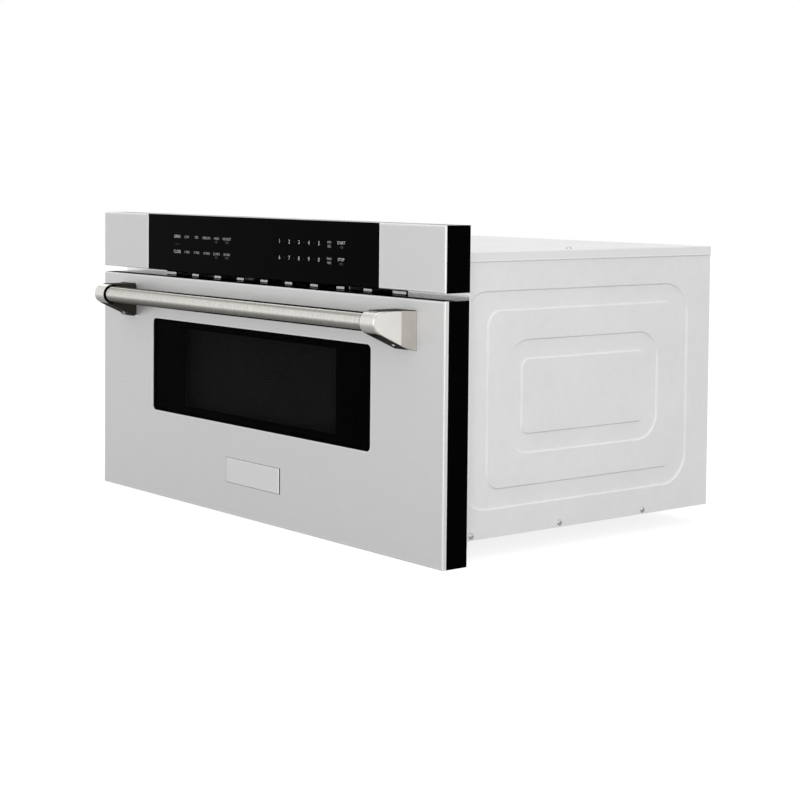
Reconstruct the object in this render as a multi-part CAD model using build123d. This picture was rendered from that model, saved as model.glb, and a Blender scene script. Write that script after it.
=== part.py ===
from build123d import *
import math
import os

os.makedirs("parts", exist_ok=True)

# A built-in microwave drawer. Millimetres, +Z up, front towards -Y.
# X = 0 is the middle, Y = 0 the cabinet face behind the mounting flange,
# and Z = 0 the underside of the chassis, which rests on the cabinet shelf.

# ---- overall sizes ---------------------------------------------------------
front_width = 760.0  # door and control panel
door_height = 310.0
door_drop = 23.0  # the door hangs this far below the chassis
vent_gap = 9.0  # between door and control panel
panel_height = 78.0  # control panel
front_depth = 39.0  # skin face to cabinet face
front_overlap = 24.0  # front beyond the casing, each side
body_height = 341.0
body_depth = 444.0
drawer_travel = 370.0
shaft_gap = 0.05  # round every shaft in its bore
shaft_entry = 8.0  # how far a shaft goes into its motor or gearbox
shaft_end_gap = 0.5

# ---- sheet and glass -------------------------------------------------------
skin_sheet = 1.0  # stainless front
skin_return = 5.6  # folded edge of the door skin
cap_return = 2.0  # folded edge of the end caps
edge_radius = 1.4  # outer edge of the folds
body_sheet = 1.0  # zinc-plated casing
flange_sheet = 1.2
glass_thick = 4.0
running_gap = 0.8  # closed door to mounting flange

# ---- window and inner door -------------------------------------------------
window_width = 491.0
window_height = 130.0
window_above_door_bottom = 120.5
window_radius = 7.0
glass_overlap = 9.0  # glass behind the skin, each side
screen_sheet = 1.0
screen_setback = 11.0  # from the back of the outer glass
inner_panel_sheet = 1.2
frame_wall = 3.0  # moulded door frame

# ---- control panel ---------------------------------------------------------
cap_width = 121.0
panel_gap = 0.3  # glass to end caps
housing_wall = 2.0
board_width = 400.0
board_height = 60.0
board_thick = 1.6
board_standoff = 24.0
standoff_radius = 3.0
standoff_inset = (12.0, 6.0)  # from the board's ends and edges
# parts on the board: place across and up from its middle, then width, height and thickness
board_parts = (
    ((0.0, 7.2), (86.0, 26.0), 2.5),  # display
    ((-120.0, -3.0), (22.0, 22.0), 2.0),  # processor
    ((124.0, 0.0), (60.0, 12.0), 2.0),  # connector
)
relay_x = -160.0
relay_size = (18.0, 14.0, 14.0)

# ---- cavity and drawer tub -------------------------------------------------
tub_inset = 138.0  # inside of the tub to the casing side
tub_depth = 400.0  # inside
tub_floor_height = 54.0  # underside of the tub above the chassis
tub_top_height = 232.0
tub_sheet = 1.2
tray_thick = 5.0
tray_margin = 2.0
cavity_side_gap = 6.8
cavity_floor_gap = 8.0
cavity_rear_gap = 12.8
cavity_top_height = 252.0
cavity_sheet = 1.0
cavity_rim = 26.0  # sealing face round the mouth
cover_thick = 2.0  # stirrer cover
cover_gap = 4.0  # above the tub
cover_front_gap = 2.0
cover_post_inset = 24.0

# ---- handle ----------------------------------------------------------------
handle_radius = 11.5
handle_wall = 1.2
handle_stand_off = 40.8  # tube axis to skin face
handle_below_door_top = 27.4
nose_radius = 13.5
bracket_span = 582.0  # between the brackets' inner faces
bracket_width = 25.5
bracket_foot_width = 38.8
bracket_foot_height = 46.6
bracket_flare = 11.5  # how far in front of the skin the foot starts to widen
bracket_lip = 1.2
bracket_fillet = 2.0
socket_depth = 9.0
socket_gap = 0.8  # shadow gap round the tube
socket_gap_depth = 3.0
set_screw_radius = 2.5
set_screw_length = 5.0
set_screw_behind_nose = 28.0

# ---- badge -----------------------------------------------------------------
badge_width = 120.0
badge_height = 33.0
badge_thick = 1.4
badge_bevel = 0.8
badge_above_door_bottom = 43.0

# ---- slides ----------------------------------------------------------------
slide_height = 45.0
slide_width = 14.5
slide_sheet = 1.5
slide_middle_sheet = 1.2
slide_overlap = 32.0  # slide length beyond the travel
slide_race = 2.8  # ball space between the members
slide_centre_height = 108.0
slide_clearance = 30.0  # cavity wall to the inner face of the slide
slide_side_gap = 1.8
upright_foot = 8.0
cage_end_gap = 7.5  # front of the cages behind the cabinet face, drawer open
cage_length = 200.0
cage_sheet = 0.8
cage_balls = 10
ball_gap = 0.3  # ball to its race

# ---- rack drive ------------------------------------------------------------
gear_module = 1.5
pinion_teeth = 20
pressure_angle = 20.0
backlash = 0.3
dedendum_share = 1.25  # of the module
flank_steps = 5
pinion_width = 12.0
rack_width = 9.0  # pitch line to its back
rack_height = 10.0
rack_underside = 12.0
rack_tail = 16.0  # beyond the pinion with the drawer open
pinion_setback = 24.0  # axis behind the cabinet face
shaft_radius = 3.0
gearbox_length = 64.0
gearbox_width = 56.0  # beyond the pinion's axis
gearbox_front = 16.0  # ahead of the pinion's axis
gearbox_left = 10.0  # towards the rack
gearbox_bottom = 26.0
gearbox_height = 18.0
motor_radius = 16.0
motor_length = 62.0
motor_boss_radius = 8.0
motor_boss_length = 5.0
motor_lift = 5.0  # above the base plate
cradle_thick = 5.0
pillar_radius = 4.0
guide_length = 44.0
guide_wall = 5.0
guide_gap = 0.4

# ---- casing detail ---------------------------------------------------------
cover_flange = 11.0  # top cover folded over the sides
cover_bend = 0.9
base_lip = 12.0
groove_width = 25.0
groove_depth = 2.0
groove_draft = 40.0  # degrees
outer_ring_front = 8.0
outer_ring_rear = 42.0  # in from the rear edge
outer_ring_bottom = 33.5
outer_ring_top = 46.0  # down from the top
outer_ring_radius = 42.0
outer_island_front = 52.5
inner_ring_front = 83.4
inner_ring_rear = 97.8
inner_ring_bottom = 96.0
inner_ring_top = 106.0
inner_ring_radius = 34.0
outer_island_radius = 18.0
inner_island_radius = 9.0
vent_slots = 9
vent_pitch = 55.2
vent_slot_width = 43.6
vent_slot_height = 7.6
vent_slot_radius = 2.5
flange_hole_radius = 2.4
flange_hole_inset = 12.0  # from the flange's outer edge
flange_hole_low = 60.0
flange_hole_high = 250.0
flange_inset = 1.0  # flange inside the front outline
flange_setdown = 1.0  # below the top of the panel

# ---- screws ----------------------------------------------------------------
screw_head_radius = 4.0
screw_head_height = 2.2
screw_shank_radius = 1.9
screw_length = 8.0
side_screw_depths = (27.0, 173.0, 321.0)
side_screw_height = 6.0
top_screw_depth = 214.0
top_screw_inset = 32.0
rear_screw_inset = (24.0, 12.0)  # from the sides, and from top and bottom

# ---- top bay: waveguide, magnetron, fan, stirrer ----------------------------
waveguide_width = 92.0
waveguide_height = 64.0
waveguide_sheet = 1.2
waveguide_left = -60.0
waveguide_right = 152.0
waveguide_setback = 160.0
launch_width = 96.0  # opening in the cavity roof
launch_depth = 62.0
magnetron_length = 58.0
magnetron_width = 88.0
magnetron_height = 74.0
magnetron_lift = 3.0  # above the cavity roof
magnetron_sheet = 1.2
anode_radius = 19.0
fin_count = 6
fin_thick = 1.0
fin_inset = 10.0
antenna_radius = 7.5
antenna_length = 20.0
filter_box_length = 20.0
filter_box_inset = (20.0, 10.0)
stirrer_shaft_radius = 2.5
stirrer_radius = 72.0
stirrer_arm_width = 34.0
stirrer_sheet = 1.0
stirrer_tilt = 12.0
stirrer_hub_radius = 9.0
stirrer_hub_height = 7.0
stirrer_drop = 9.0  # hub middle below the cavity roof
stirrer_arms = 4
stirrer_motor_radius = 24.0
stirrer_motor_height = 17.0
stirrer_ear = 6.0  # fixing ears beyond the motor
stirrer_ear_width = 9.0
fan_radius = 37.0
fan_tip_gap = 1.5
fan_depth = 22.0
fan_hub_radius = 12.0
fan_hub_length = 15.0
fan_blades = 7
fan_pitch = 32.0
fan_blade_thick = 1.4
fan_blade_width = 26.0
fan_x = 196.0
fan_plate_thick = 3.0
fan_duct_wall = 2.0
fan_arm_width = 6.0
fan_arm_height = 24.0
fan_motor_radius = 22.0
fan_motor_length = 30.0
fan_motor_gap = 6.0
fan_shaft_radius = 2.5
duct_wall = 1.5
duct_gap = 0.8  # to the cover and the waveguide
grille_slots = 9
grille_slot_width = 4.0
grille_slot_height = 58.0
grille_pitch = 8.0
lamp_x = -160.0
lamp_y = 70.0
lamp_radius = 12.0
lamp_length = 42.0
lamp_shade_wall = 2.0
lamp_hole_radius = 11.0
lamp_plate = 56.0
lamp_sheet = 1.2
bulb_radius = 6.0
bulb_length = 21.0

# ---- side bays -------------------------------------------------------------
bay_inset = 8.0  # from the casing side
transformer_size = (58.0, 92.0, 76.0)
transformer_rear_gap = 51.0
transformer_lamination = 20.0  # core ahead of and behind the coil
transformer_coil = 10.0  # coil standing proud of the core
transformer_coil_radius = 5.0
capacitor_size = (34.0, 54.0, 92.0)
capacitor_gap = 26.0  # ahead of the transformer
capacitor_radius = 16.0
terminal_spacing = 27.0
terminal_size = (3.0, 10.0)  # radius and height
filter_board_size = (60.0, 80.0)
filter_board_rear_gap = 33.0
filter_board_lift = 10.0
choke_radius = 15.0
choke_bore = 7.0
choke_height = 20.0
choke_setback = 27.0
gland_x = -300.0
gland_z = 60.0
gland_radius = 9.0
gland_bore = 4.5
gland_collar = 12.5
gland_length = 20.0
gland_collar_thick = 3.0

# ---- interlock -------------------------------------------------------------
tongue_inset = 52.0  # from the casing side
tongue_heights = (176.0, 214.0)
tongue_size = (4.0, 24.0, 14.0)
tongue_bevel = 4.6
switch_size = (11.0, 28.0, 17.0)
switch_gap = 0.6
switch_bracket_sheet = 1.5

# ---- worked out from the sizes above ----------------------------------------
half_front = front_width / 2
half_body = half_front - front_overlap
skin_face = -front_depth
skin_back = skin_face + skin_sheet
door_bottom = -door_drop
door_top = door_bottom + door_height
panel_bottom = door_top + vent_gap
panel_top = panel_bottom + panel_height
window_bottom = door_bottom + window_above_door_bottom
window_top = window_bottom + window_height
half_window = window_width / 2
glass_back = skin_back + glass_thick
door_back = -flange_sheet - running_gap
inner_panel_front = door_back - inner_panel_sheet
inner_glass_front = inner_panel_front - glass_thick
screen_front = glass_back + screen_setback
half_tub = half_body - tub_inset
tub_outside = half_tub + tub_sheet
tub_front = door_back
tub_inner_back = tub_front + tub_depth
tub_back = tub_inner_back + tub_sheet
tub_floor_top = tub_floor_height + tub_sheet
half_cavity = tub_outside + cavity_side_gap
cavity_wall = half_cavity + cavity_sheet
cavity_floor = tub_floor_height - cavity_floor_gap
cavity_back = tub_back + cavity_rear_gap
cavity_roof = cavity_top_height + cavity_sheet
rim_outside = half_cavity + cavity_rim
rim_bottom = cavity_floor - cavity_rim / 2
rim_top = cavity_top_height + cavity_rim / 2
stirrer_cover_bottom = tub_top_height + cover_gap
side_panel_face = half_body - body_sheet
side_panel_inside = side_panel_face - body_sheet
roof_underside = body_height - body_sheet
rear_inside = body_depth - body_sheet
slide_inner_face = cavity_wall + slide_clearance
slide_outer_face = slide_inner_face + slide_width
pinion_radius = gear_module * pinion_teeth / 2
tongue_x = half_body - tongue_inset
pinion_x = pinion_radius  # the rack's pitch line is X = 0
dedendum = dedendum_share * gear_module
slide_length = drawer_travel + slide_overlap
cage_setback = drawer_travel / 4 + cage_end_gap
rack_length = drawer_travel + pinion_setback - door_back + rack_tail
gearbox_y = (pinion_setback - gearbox_front, pinion_setback - gearbox_front + gearbox_length)
handle_z = door_top - handle_below_door_top
handle_y = skin_face - handle_stand_off
half_span = bracket_span / 2
waveguide_y = (waveguide_setback, waveguide_setback + waveguide_width)
stirrer_y = sum(waveguide_y) / 2
duct_z = (cavity_roof, roof_underside - duct_gap)
fan_z = sum(duct_z) / 2
waveguide_top = cavity_roof + waveguide_height
magnetron_x = (waveguide_right, waveguide_right + magnetron_length)
magnetron_z = (cavity_roof + magnetron_lift, cavity_roof + magnetron_lift + magnetron_height)
flange_top = panel_top - flange_setdown


# ---- helpers ---------------------------------------------------------------
def block(x, y, z):
    """A box from its (low, high) range on each axis."""
    middle = [(low + high) / 2 for low, high in (x, y, z)]
    return Pos(*middle) * Box(x[1] - x[0], y[1] - y[0], z[1] - z[0])


def about(middle, size):
    """The range of a given size about its middle."""
    return (middle - size / 2, middle + size / 2)


def rod(start, direction, radius, length):
    """A round bar from a point, along a direction."""
    bar = Cylinder(radius, length, align=(Align.CENTER, Align.CENTER, Align.MIN))
    return Plane(origin=start, z_dir=direction) * bar


def front_slab(x, z, y, radius):
    """A plate parallel to the front with rounded corners."""
    face = RectangleRounded(x[1] - x[0], z[1] - z[0], radius)
    place = Plane(origin=(sum(x) / 2, y[0], sum(z) / 2), x_dir=(1, 0, 0), z_dir=(0, 1, 0))
    return extrude(place * face, amount=y[1] - y[0])


def both_sides(shape):
    """The right-hand shape with its mirror image."""
    return shape + mirror(shape, about=Plane.YZ)


def write(name, shape):
    export_step(shape, f"parts/{name}.step")


def write_pair(name, shape):
    """The right-hand piece and its mirror image as two nodes."""
    write(f"{name}_right", shape)
    write(f"{name}_left", mirror(shape, about=Plane.YZ))


# ---- screws ----------------------------------------------------------------
side_screws = [((side_panel_face, y, side_screw_height), (1, 0, 0)) for y in side_screw_depths]
top_screws = [((half_body - top_screw_inset, top_screw_depth, body_height), (0, 0, 1))]
rear_screws = [
    ((half_body - rear_screw_inset[0], body_depth, z), (0, 1, 0))
    for z in (rear_screw_inset[1], body_height / 2, body_height - rear_screw_inset[1])
]


def pan_screw(seat, outward):
    """A pan-head screw with its head on the seat and its shank behind it."""
    head = rod(seat, outward, screw_head_radius, screw_head_height)
    head = fillet(head.edges().sort_by(Axis(seat, outward))[-1], screw_head_height / 2)
    return head + rod(seat, [-v for v in outward], screw_shank_radius, screw_length)


def screw_hole(seat, outward):
    """The hole that a screw's shank fills."""
    return rod(seat, [-v for v in outward], screw_shank_radius, screw_length)


def drilled(shape, screws):
    """A right-hand shape with its screws' holes cut."""
    for seat, outward in screws:
        shape -= screw_hole(seat, outward)
    return shape


# ---- casing ----------------------------------------------------------------
def pressed_groove(y, z, radius, island_front, island_radius):
    """One ring groove pressed into the right-hand side, with sloping walls."""
    def frustum(y_range, z_range, corner, draft):
        face = RectangleRounded(y_range[1] - y_range[0], z_range[1] - z_range[0], corner)
        centre = (side_panel_face, sum(y_range) / 2, sum(z_range) / 2)
        place = Plane(origin=centre, x_dir=(0, 1, 0), z_dir=(-1, 0, 0))
        return extrude(place * face, amount=groove_depth, taper=draft)

    island_y = (island_front, y[1] - groove_width)
    island_z = (z[0] + groove_width, z[1] - groove_width)
    island = frustum(island_y, island_z, island_radius, -groove_draft)
    return frustum(y, z, radius, groove_draft) - island


def side_panel():
    panel = block((side_panel_inside, side_panel_face), (0, body_depth), (0, roof_underside))
    rings = [
        pressed_groove(
            (outer_ring_front, body_depth - outer_ring_rear),
            (outer_ring_bottom, body_height - outer_ring_top),
            outer_ring_radius,
            outer_island_front,
            outer_island_radius,
        ),
        pressed_groove(
            (inner_ring_front, body_depth - inner_ring_rear),
            (inner_ring_bottom, body_height - inner_ring_top),
            inner_ring_radius,
            inner_ring_front + groove_width,
            inner_island_radius,
        ),
    ]
    for ring in rings:
        panel = panel + Pos(-body_sheet, 0, 0) * ring - ring
    return drilled(panel, side_screws)


def base_plate():
    half = side_panel_inside
    plate = block((-half, half), (0, rear_inside), (0, body_sheet))
    lip = block((half - body_sheet, half), (0, rear_inside), (0, base_lip))
    return plate + both_sides(drilled(lip, side_screws))


def top_cover():
    sheet = block((-half_body, half_body), (0, body_depth), (roof_underside, body_height))
    flange = block(
        (side_panel_face, half_body), (0, body_depth), (body_height - cover_flange, body_height)
    )
    cover = sheet + both_sides(flange)
    long_edges = cover.edges().filter_by(Axis.Y).group_by(Axis.Z)[-1]
    cover = fillet(long_edges, cover_bend)
    for seat, outward in top_screws:
        hole = screw_hole(seat, outward)
        cover = cover - hole - mirror(hole, about=Plane.YZ)
    return cover


def rear_panel():
    half = side_panel_inside
    panel = block((-half, half), (rear_inside, body_depth), (0, roof_underside))
    slot_z = about(fan_z, grille_slot_height)
    first = fan_x - grille_pitch * (grille_slots - 1) / 2
    for i in range(grille_slots):
        slot_x = about(first + i * grille_pitch, grille_slot_width)
        panel -= block(slot_x, (rear_inside, body_depth), slot_z)
    panel -= rod((gland_x, rear_inside, gland_z), (0, 1, 0), gland_radius, body_sheet)
    for seat, outward in rear_screws:
        hole = screw_hole(seat, outward)
        panel = panel - hole - mirror(hole, about=Plane.YZ)
    return panel


def mounting_flange():
    half = half_front - flange_inset
    through = (-flange_sheet, 0)
    plate = block((-half, half), through, (0, flange_top))
    plate -= block((-rim_outside, rim_outside), through, (rim_bottom, rim_top))
    first = -vent_pitch * (vent_slots - 1) / 2
    slot_z = about(door_top + vent_gap / 2, vent_slot_height)
    for i in range(vent_slots):
        slot_x = about(first + i * vent_pitch, vent_slot_width)
        plate -= front_slab(slot_x, slot_z, through, vent_slot_radius)
    margin = slide_side_gap
    slide_slot_z = about(slide_centre_height, slide_height + 2 * margin)
    slide_slot = block(
        (slide_inner_face - margin, slide_outer_face + margin), through, slide_slot_z
    )
    tongue_slots = [
        block(
            about(tongue_x, tongue_size[0] + 2 * margin),
            through,
            about(z, tongue_size[2] + 2 * margin),
        )
        for z in tongue_heights
    ]
    hole_x = half - flange_hole_inset
    holes = [
        rod((hole_x, -flange_sheet, z), (0, 1, 0), flange_hole_radius, flange_sheet)
        for z in (flange_hole_low, flange_hole_high)
    ]
    for cut in [slide_slot, *tongue_slots, *holes]:
        plate = plate - cut - mirror(cut, about=Plane.YZ)
    rack_slot = block(
        (-rack_width - margin, gear_module + margin),
        through,
        (rack_underside - margin, rack_underside + rack_height + margin),
    )
    return plate - rack_slot


write_pair("side_panel", side_panel())
write("base_plate", base_plate())
write("top_cover", top_cover())
write("rear_panel", rear_panel())
write("mounting_flange", mounting_flange())
casing_screws = [both_sides(pan_screw(*s)) for s in side_screws + top_screws + rear_screws]
write("casing_screws", Compound(children=[s for pair in casing_screws for s in pair.solids()]))


# ---- control panel ---------------------------------------------------------
board_half = board_width / 2
board_back = -flange_sheet - housing_wall - board_standoff
board_z = about((panel_bottom + panel_top) / 2, board_height)
glass_half = half_front - cap_width - panel_gap
cap_inner = half_front - cap_width
cap_back = skin_face + cap_return
panel_glass_back = skin_face + glass_thick


def control_housing():
    wall = housing_wall
    shell = block((-half_front, half_front), (cap_back, -flange_sheet), (panel_bottom, panel_top))
    shell -= block(
        (-half_front + wall, half_front - wall),
        (cap_back, -flange_sheet - wall),
        (panel_bottom + wall, panel_top - wall),
    )
    shell -= block(
        (-cap_inner, cap_inner), (cap_back, panel_glass_back), (panel_bottom, panel_top)
    )
    along, up = standoff_inset
    for x in (-board_half + along, board_half - along):
        for z in (board_z[0] + up, board_z[1] - up):
            shell += rod((x, board_back, z), (0, 1, 0), standoff_radius, board_standoff)
    return shell


def control_board():
    front = board_back - board_thick
    middle_z = sum(board_z) / 2
    board = block((-board_half, board_half), (front, board_back), board_z)
    for (across, up), (width, tall), thick in board_parts:
        board += block(about(across, width), (front - thick, front), about(middle_z + up, tall))
    wide, deep, tall = relay_size
    return board + block(about(relay_x, wide), (board_back, board_back + deep), about(middle_z, tall))


def end_cap():
    outer = block((cap_inner, half_front), (skin_face, cap_back), (panel_bottom, panel_top))
    outer = fillet(outer.edges().group_by(Axis.Y)[0], edge_radius)
    hollow = block(
        (cap_inner + skin_sheet, half_front - skin_sheet),
        (skin_back, cap_back),
        (panel_bottom + skin_sheet, panel_top - skin_sheet),
    )
    return outer - hollow


def control_glass():
    depth = (skin_face, panel_glass_back)
    glass = block((-glass_half, glass_half), depth, (panel_bottom, panel_top))
    return fillet(glass.edges().group_by(Axis.Y)[0], panel_gap)


write("control_housing", control_housing())
write("control_glass", control_glass())
write("control_board", control_board())
write_pair("end_cap", end_cap())


# ---- door ------------------------------------------------------------------
full_width = (-half_front, half_front)
full_height = (door_bottom, door_top)
inside_width = (-half_front + skin_sheet, half_front - skin_sheet)
inside_height = (door_bottom + skin_sheet, door_top - skin_sheet)
window_x = (-half_window, half_window)
window_z = (window_bottom, window_top)
return_back = skin_face + skin_return
glass_x = (-half_window - glass_overlap, half_window + glass_overlap)
glass_z = (window_bottom - glass_overlap, window_top + glass_overlap)
tub_opening_z = (tub_floor_top, tub_top_height)
inner_glass_x = (-half_tub - glass_overlap, half_tub + glass_overlap)
inner_glass_z = (tub_opening_z[0] - glass_overlap, tub_opening_z[1] + glass_overlap)
inner_x = (-half_front + frame_wall, half_front - frame_wall)
inner_z = (door_bottom + frame_wall, door_top - frame_wall)


def door_skin():
    skin = block(full_width, (skin_face, return_back), full_height)
    skin = fillet(skin.edges().group_by(Axis.Y)[0], edge_radius)
    skin -= block(inside_width, (skin_back, return_back), inside_height)
    return skin - front_slab(window_x, window_z, (skin_face, skin_back), window_radius)


def door_frame():
    """A moulding behind the skin, open at the back round a window tunnel."""
    frame = block(full_width, (return_back, door_back), full_height)
    frame += block(inside_width, (skin_back, return_back), inside_height)
    frame -= block(inner_x, (glass_back, door_back), inner_z)
    tunnel_x = (glass_x[0] - frame_wall, glass_x[1] + frame_wall)
    tunnel_z = (inner_glass_z[0] - frame_wall, inner_glass_z[1] + frame_wall)
    frame += block(tunnel_x, (glass_back, inner_panel_front), tunnel_z)
    frame -= block(glass_x, (skin_back, glass_back), glass_z)
    frame -= block(window_x, (glass_back, screen_front), window_z)
    frame -= block(glass_x, (screen_front, inner_glass_front), glass_z)
    return frame - block(inner_glass_x, (inner_glass_front, inner_panel_front), inner_glass_z)


def inner_panel():
    panel = block(inner_x, (inner_panel_front, door_back), inner_z)
    return panel - block((-half_tub, half_tub), (inner_panel_front, door_back), tub_opening_z)


def badge_plate():
    bottom = door_bottom + badge_above_door_bottom
    depth = (skin_face - badge_thick, skin_face)
    plate = block(about(0, badge_width), depth, (bottom, bottom + badge_height))
    return chamfer(plate.edges().group_by(Axis.Y)[0], badge_bevel)


def tongue(z):
    """A latch tongue on the back of the door, with a sloping tip."""
    width, length, tall = tongue_size
    bar = block(about(tongue_x, width), (door_back, door_back + length), about(z, tall))
    tip = bar.edges().filter_by(Axis.X).group_by(Axis.Y)[-1]
    return chamfer(tip, tongue_bevel)


write("door_skin", door_skin())
write("door_frame", door_frame())
write("door_glass", block(glass_x, (skin_back, glass_back), glass_z))
write("door_screen", block(glass_x, (screen_front, screen_front + screen_sheet), glass_z))
write("inner_glass", block(inner_glass_x, (inner_glass_front, inner_panel_front), inner_glass_z))
write("inner_panel", inner_panel())
write("badge_plate", badge_plate())
tongues = [t for z in tongue_heights for t in both_sides(tongue(z)).solids()]
write("latch_tongues", Compound(children=tongues))


# ---- handle ----------------------------------------------------------------
bracket_drop = bracket_foot_height - nose_radius  # tube axis to the foot's lower edge
underside_slope = math.atan2(bracket_drop, handle_stand_off) - math.asin(
    nose_radius / math.hypot(handle_stand_off, bracket_drop)
)
bracket_top = handle_z + nose_radius
bracket_bottom = handle_z - bracket_drop
nose_front = handle_y - nose_radius


def bracket_side(width):
    """The bracket seen from the side: round nose, flat top, sloping underside."""
    tangent = (
        handle_y - nose_radius * math.sin(underside_slope),
        handle_z - nose_radius * math.cos(underside_slope),
    )
    with BuildSketch(Plane.YZ.offset(half_span)) as side:
        with BuildLine():
            Line((skin_face, bracket_bottom), (skin_face, bracket_top))
            Line((skin_face, bracket_top), (handle_y, bracket_top))
            ThreePointArc((handle_y, bracket_top), (nose_front, handle_z), tangent)
            Line(tangent, (skin_face, bracket_bottom))
        make_face()
    return extrude(side.sketch, amount=width)


def bracket_flare_plan():
    """The foot seen from above, flaring outwards in a hollow curve."""
    outer = half_span + bracket_width
    foot = half_span + bracket_foot_width
    flare_y = skin_face - bracket_flare
    lip_y = skin_face - bracket_lip
    share = 1 - math.sqrt(0.5)
    bend = (outer + (foot - outer) * share, lip_y - (lip_y - flare_y) * share)
    with BuildSketch(Plane.XY.offset(bracket_bottom)) as plan:
        with BuildLine():
            Polyline((foot, lip_y), (foot, skin_face), (half_span, skin_face))
            Polyline((half_span, skin_face), (half_span, flare_y), (outer, flare_y))
            ThreePointArc((outer, flare_y), bend, (foot, lip_y))
        make_face()
    return extrude(plan.sketch, amount=bracket_foot_height)


def set_screw():
    """The screw in the right-hand bracket's underside, square to it."""
    up_slope = (handle_stand_off - set_screw_behind_nose) * math.tan(underside_slope)
    seat = (
        half_span + bracket_width / 2,
        handle_y + set_screw_behind_nose,
        bracket_bottom + up_slope,
    )
    inward = (0, math.sin(underside_slope), math.cos(underside_slope))
    return rod(seat, inward, set_screw_radius, set_screw_length)


def bracket():
    """The right-hand cast bracket with its sockets for the tube and set screw."""
    arm = bracket_side(bracket_width)
    outer_rim = arm.edges().group_by(Axis.X)[-1]
    rim = outer_rim.filter_by(lambda edge: edge.center().Y < skin_face - bracket_lip)
    foot = bracket_side(bracket_foot_width) & bracket_flare_plan()
    body = fillet(rim, bracket_fillet) + foot
    start = (half_span, handle_y, handle_z)
    body -= rod(start, (1, 0, 0), handle_radius, socket_depth)
    body -= rod(start, (1, 0, 0), handle_radius + socket_gap, socket_gap_depth)
    return body - set_screw()


def handle_tube():
    start = (-half_span - socket_depth, handle_y, handle_z)
    length = bracket_span + 2 * socket_depth
    bar = rod(start, (1, 0, 0), handle_radius, length)
    return bar - rod(start, (1, 0, 0), handle_radius - handle_wall, length)


write("handle_tube", handle_tube())
write_pair("handle_bracket", bracket())
write("handle_set_screws", both_sides(set_screw()))


# ---- drawer tub --------------------------------------------------------------
tub_y = (tub_front, tub_back)
tub_height = (tub_floor_height, tub_top_height)
write_pair("tub_side", block((half_tub, tub_outside), tub_y, tub_height))
write("tub_floor", block((-half_tub, half_tub), tub_y, (tub_floor_height, tub_floor_top)))
tub_end = block((-half_tub, half_tub), (tub_inner_back, tub_back), (tub_floor_top, tub_top_height))
write("tub_back", tub_end)
tray = block(
    (-half_tub + tray_margin, half_tub - tray_margin),
    (tub_front + tray_margin, tub_inner_back - tray_margin),
    (tub_floor_top, tub_floor_top + tray_thick),
)
write("ceramic_tray", fillet(tray.edges().filter_by(Axis.Z), tray_thick))


# ---- oven cavity -------------------------------------------------------------
def oven_cavity():
    """The fixed oven box with its sealing rim, which fills the opening in the flange."""
    outside_y = (-flange_sheet, cavity_back + cavity_sheet)
    outside_z = (cavity_floor - cavity_sheet, cavity_roof)
    inside_z = (cavity_floor, cavity_top_height)
    roof = (cavity_top_height, cavity_roof)
    box = block((-cavity_wall, cavity_wall), outside_y, outside_z)
    box += block((-rim_outside, rim_outside), (-flange_sheet, 0), (rim_bottom, rim_top))
    box -= block((-half_cavity, half_cavity), (-flange_sheet, cavity_back), inside_z)
    launch = block(about(0, launch_width), about(stirrer_y, launch_depth), roof)
    lamp_hole = rod((lamp_x, lamp_y, roof[0]), (0, 0, 1), lamp_hole_radius, cavity_sheet)
    return box - launch - lamp_hole


def stirrer_cover():
    """The sheet under the stirrer, hung from the cavity roof on four posts."""
    top = stirrer_cover_bottom + cover_thick
    depth = (cover_front_gap, cavity_back - cover_gap)
    cover = block((-half_tub, half_tub), depth, (stirrer_cover_bottom, top))
    for x in (cover_post_inset - half_tub, half_tub - cover_post_inset):
        for y in (depth[0] + cover_post_inset, depth[1] - cover_post_inset):
            cover += rod((x, y, top), (0, 0, 1), standoff_radius, cavity_top_height - top)
    return cover


write("oven_cavity", oven_cavity())
write("stirrer_cover", stirrer_cover())


# ---- waveguide and magnetron -------------------------------------------------
def waveguide():
    """A sheet box over the cavity roof, from the magnetron to the stirrer."""
    wall = waveguide_sheet
    hollow = block((waveguide_left, waveguide_right), waveguide_y, (cavity_roof, waveguide_top))
    hollow -= block(
        (waveguide_left + wall, waveguide_right - wall),
        (waveguide_y[0] + wall, waveguide_y[1] - wall),
        (cavity_roof, waveguide_top - wall),
    )
    antenna_start = (waveguide_right, stirrer_y, sum(magnetron_z) / 2)
    hollow -= rod(antenna_start, (-1, 0, 0), antenna_radius, wall)
    bush_radius = stirrer_shaft_radius + shaft_gap
    return hollow - rod((0, stirrer_y, waveguide_top), (0, 0, -1), bush_radius, wall)


def magnetron():
    """Yoke, anode with cooling fins, antenna and filter box."""
    wall = magnetron_sheet
    y = about(stirrer_y, magnetron_width)
    middle = (magnetron_x[0], stirrer_y, sum(magnetron_z) / 2)
    body = block(magnetron_x, y, magnetron_z)
    body -= block(
        (magnetron_x[0] + wall, magnetron_x[1] - wall),
        y,
        (magnetron_z[0] + wall, magnetron_z[1] - wall),
    )
    body += rod(middle, (1, 0, 0), anode_radius, magnetron_length)
    body += rod(middle, (-1, 0, 0), antenna_radius, antenna_length)
    spacing = (magnetron_length - 2 * wall) / (fin_count + 1)
    for i in range(fin_count):
        x = magnetron_x[0] + wall + spacing * (i + 1)
        body += block((x, x + fin_thick), (y[0] + fin_inset, y[1] - fin_inset), magnetron_z)
    side, end = filter_box_inset
    return body + block(
        (magnetron_x[1], magnetron_x[1] + filter_box_length),
        (y[0] + side, y[1] - side),
        (magnetron_z[0] + end, magnetron_z[1] - end),
    )


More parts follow.
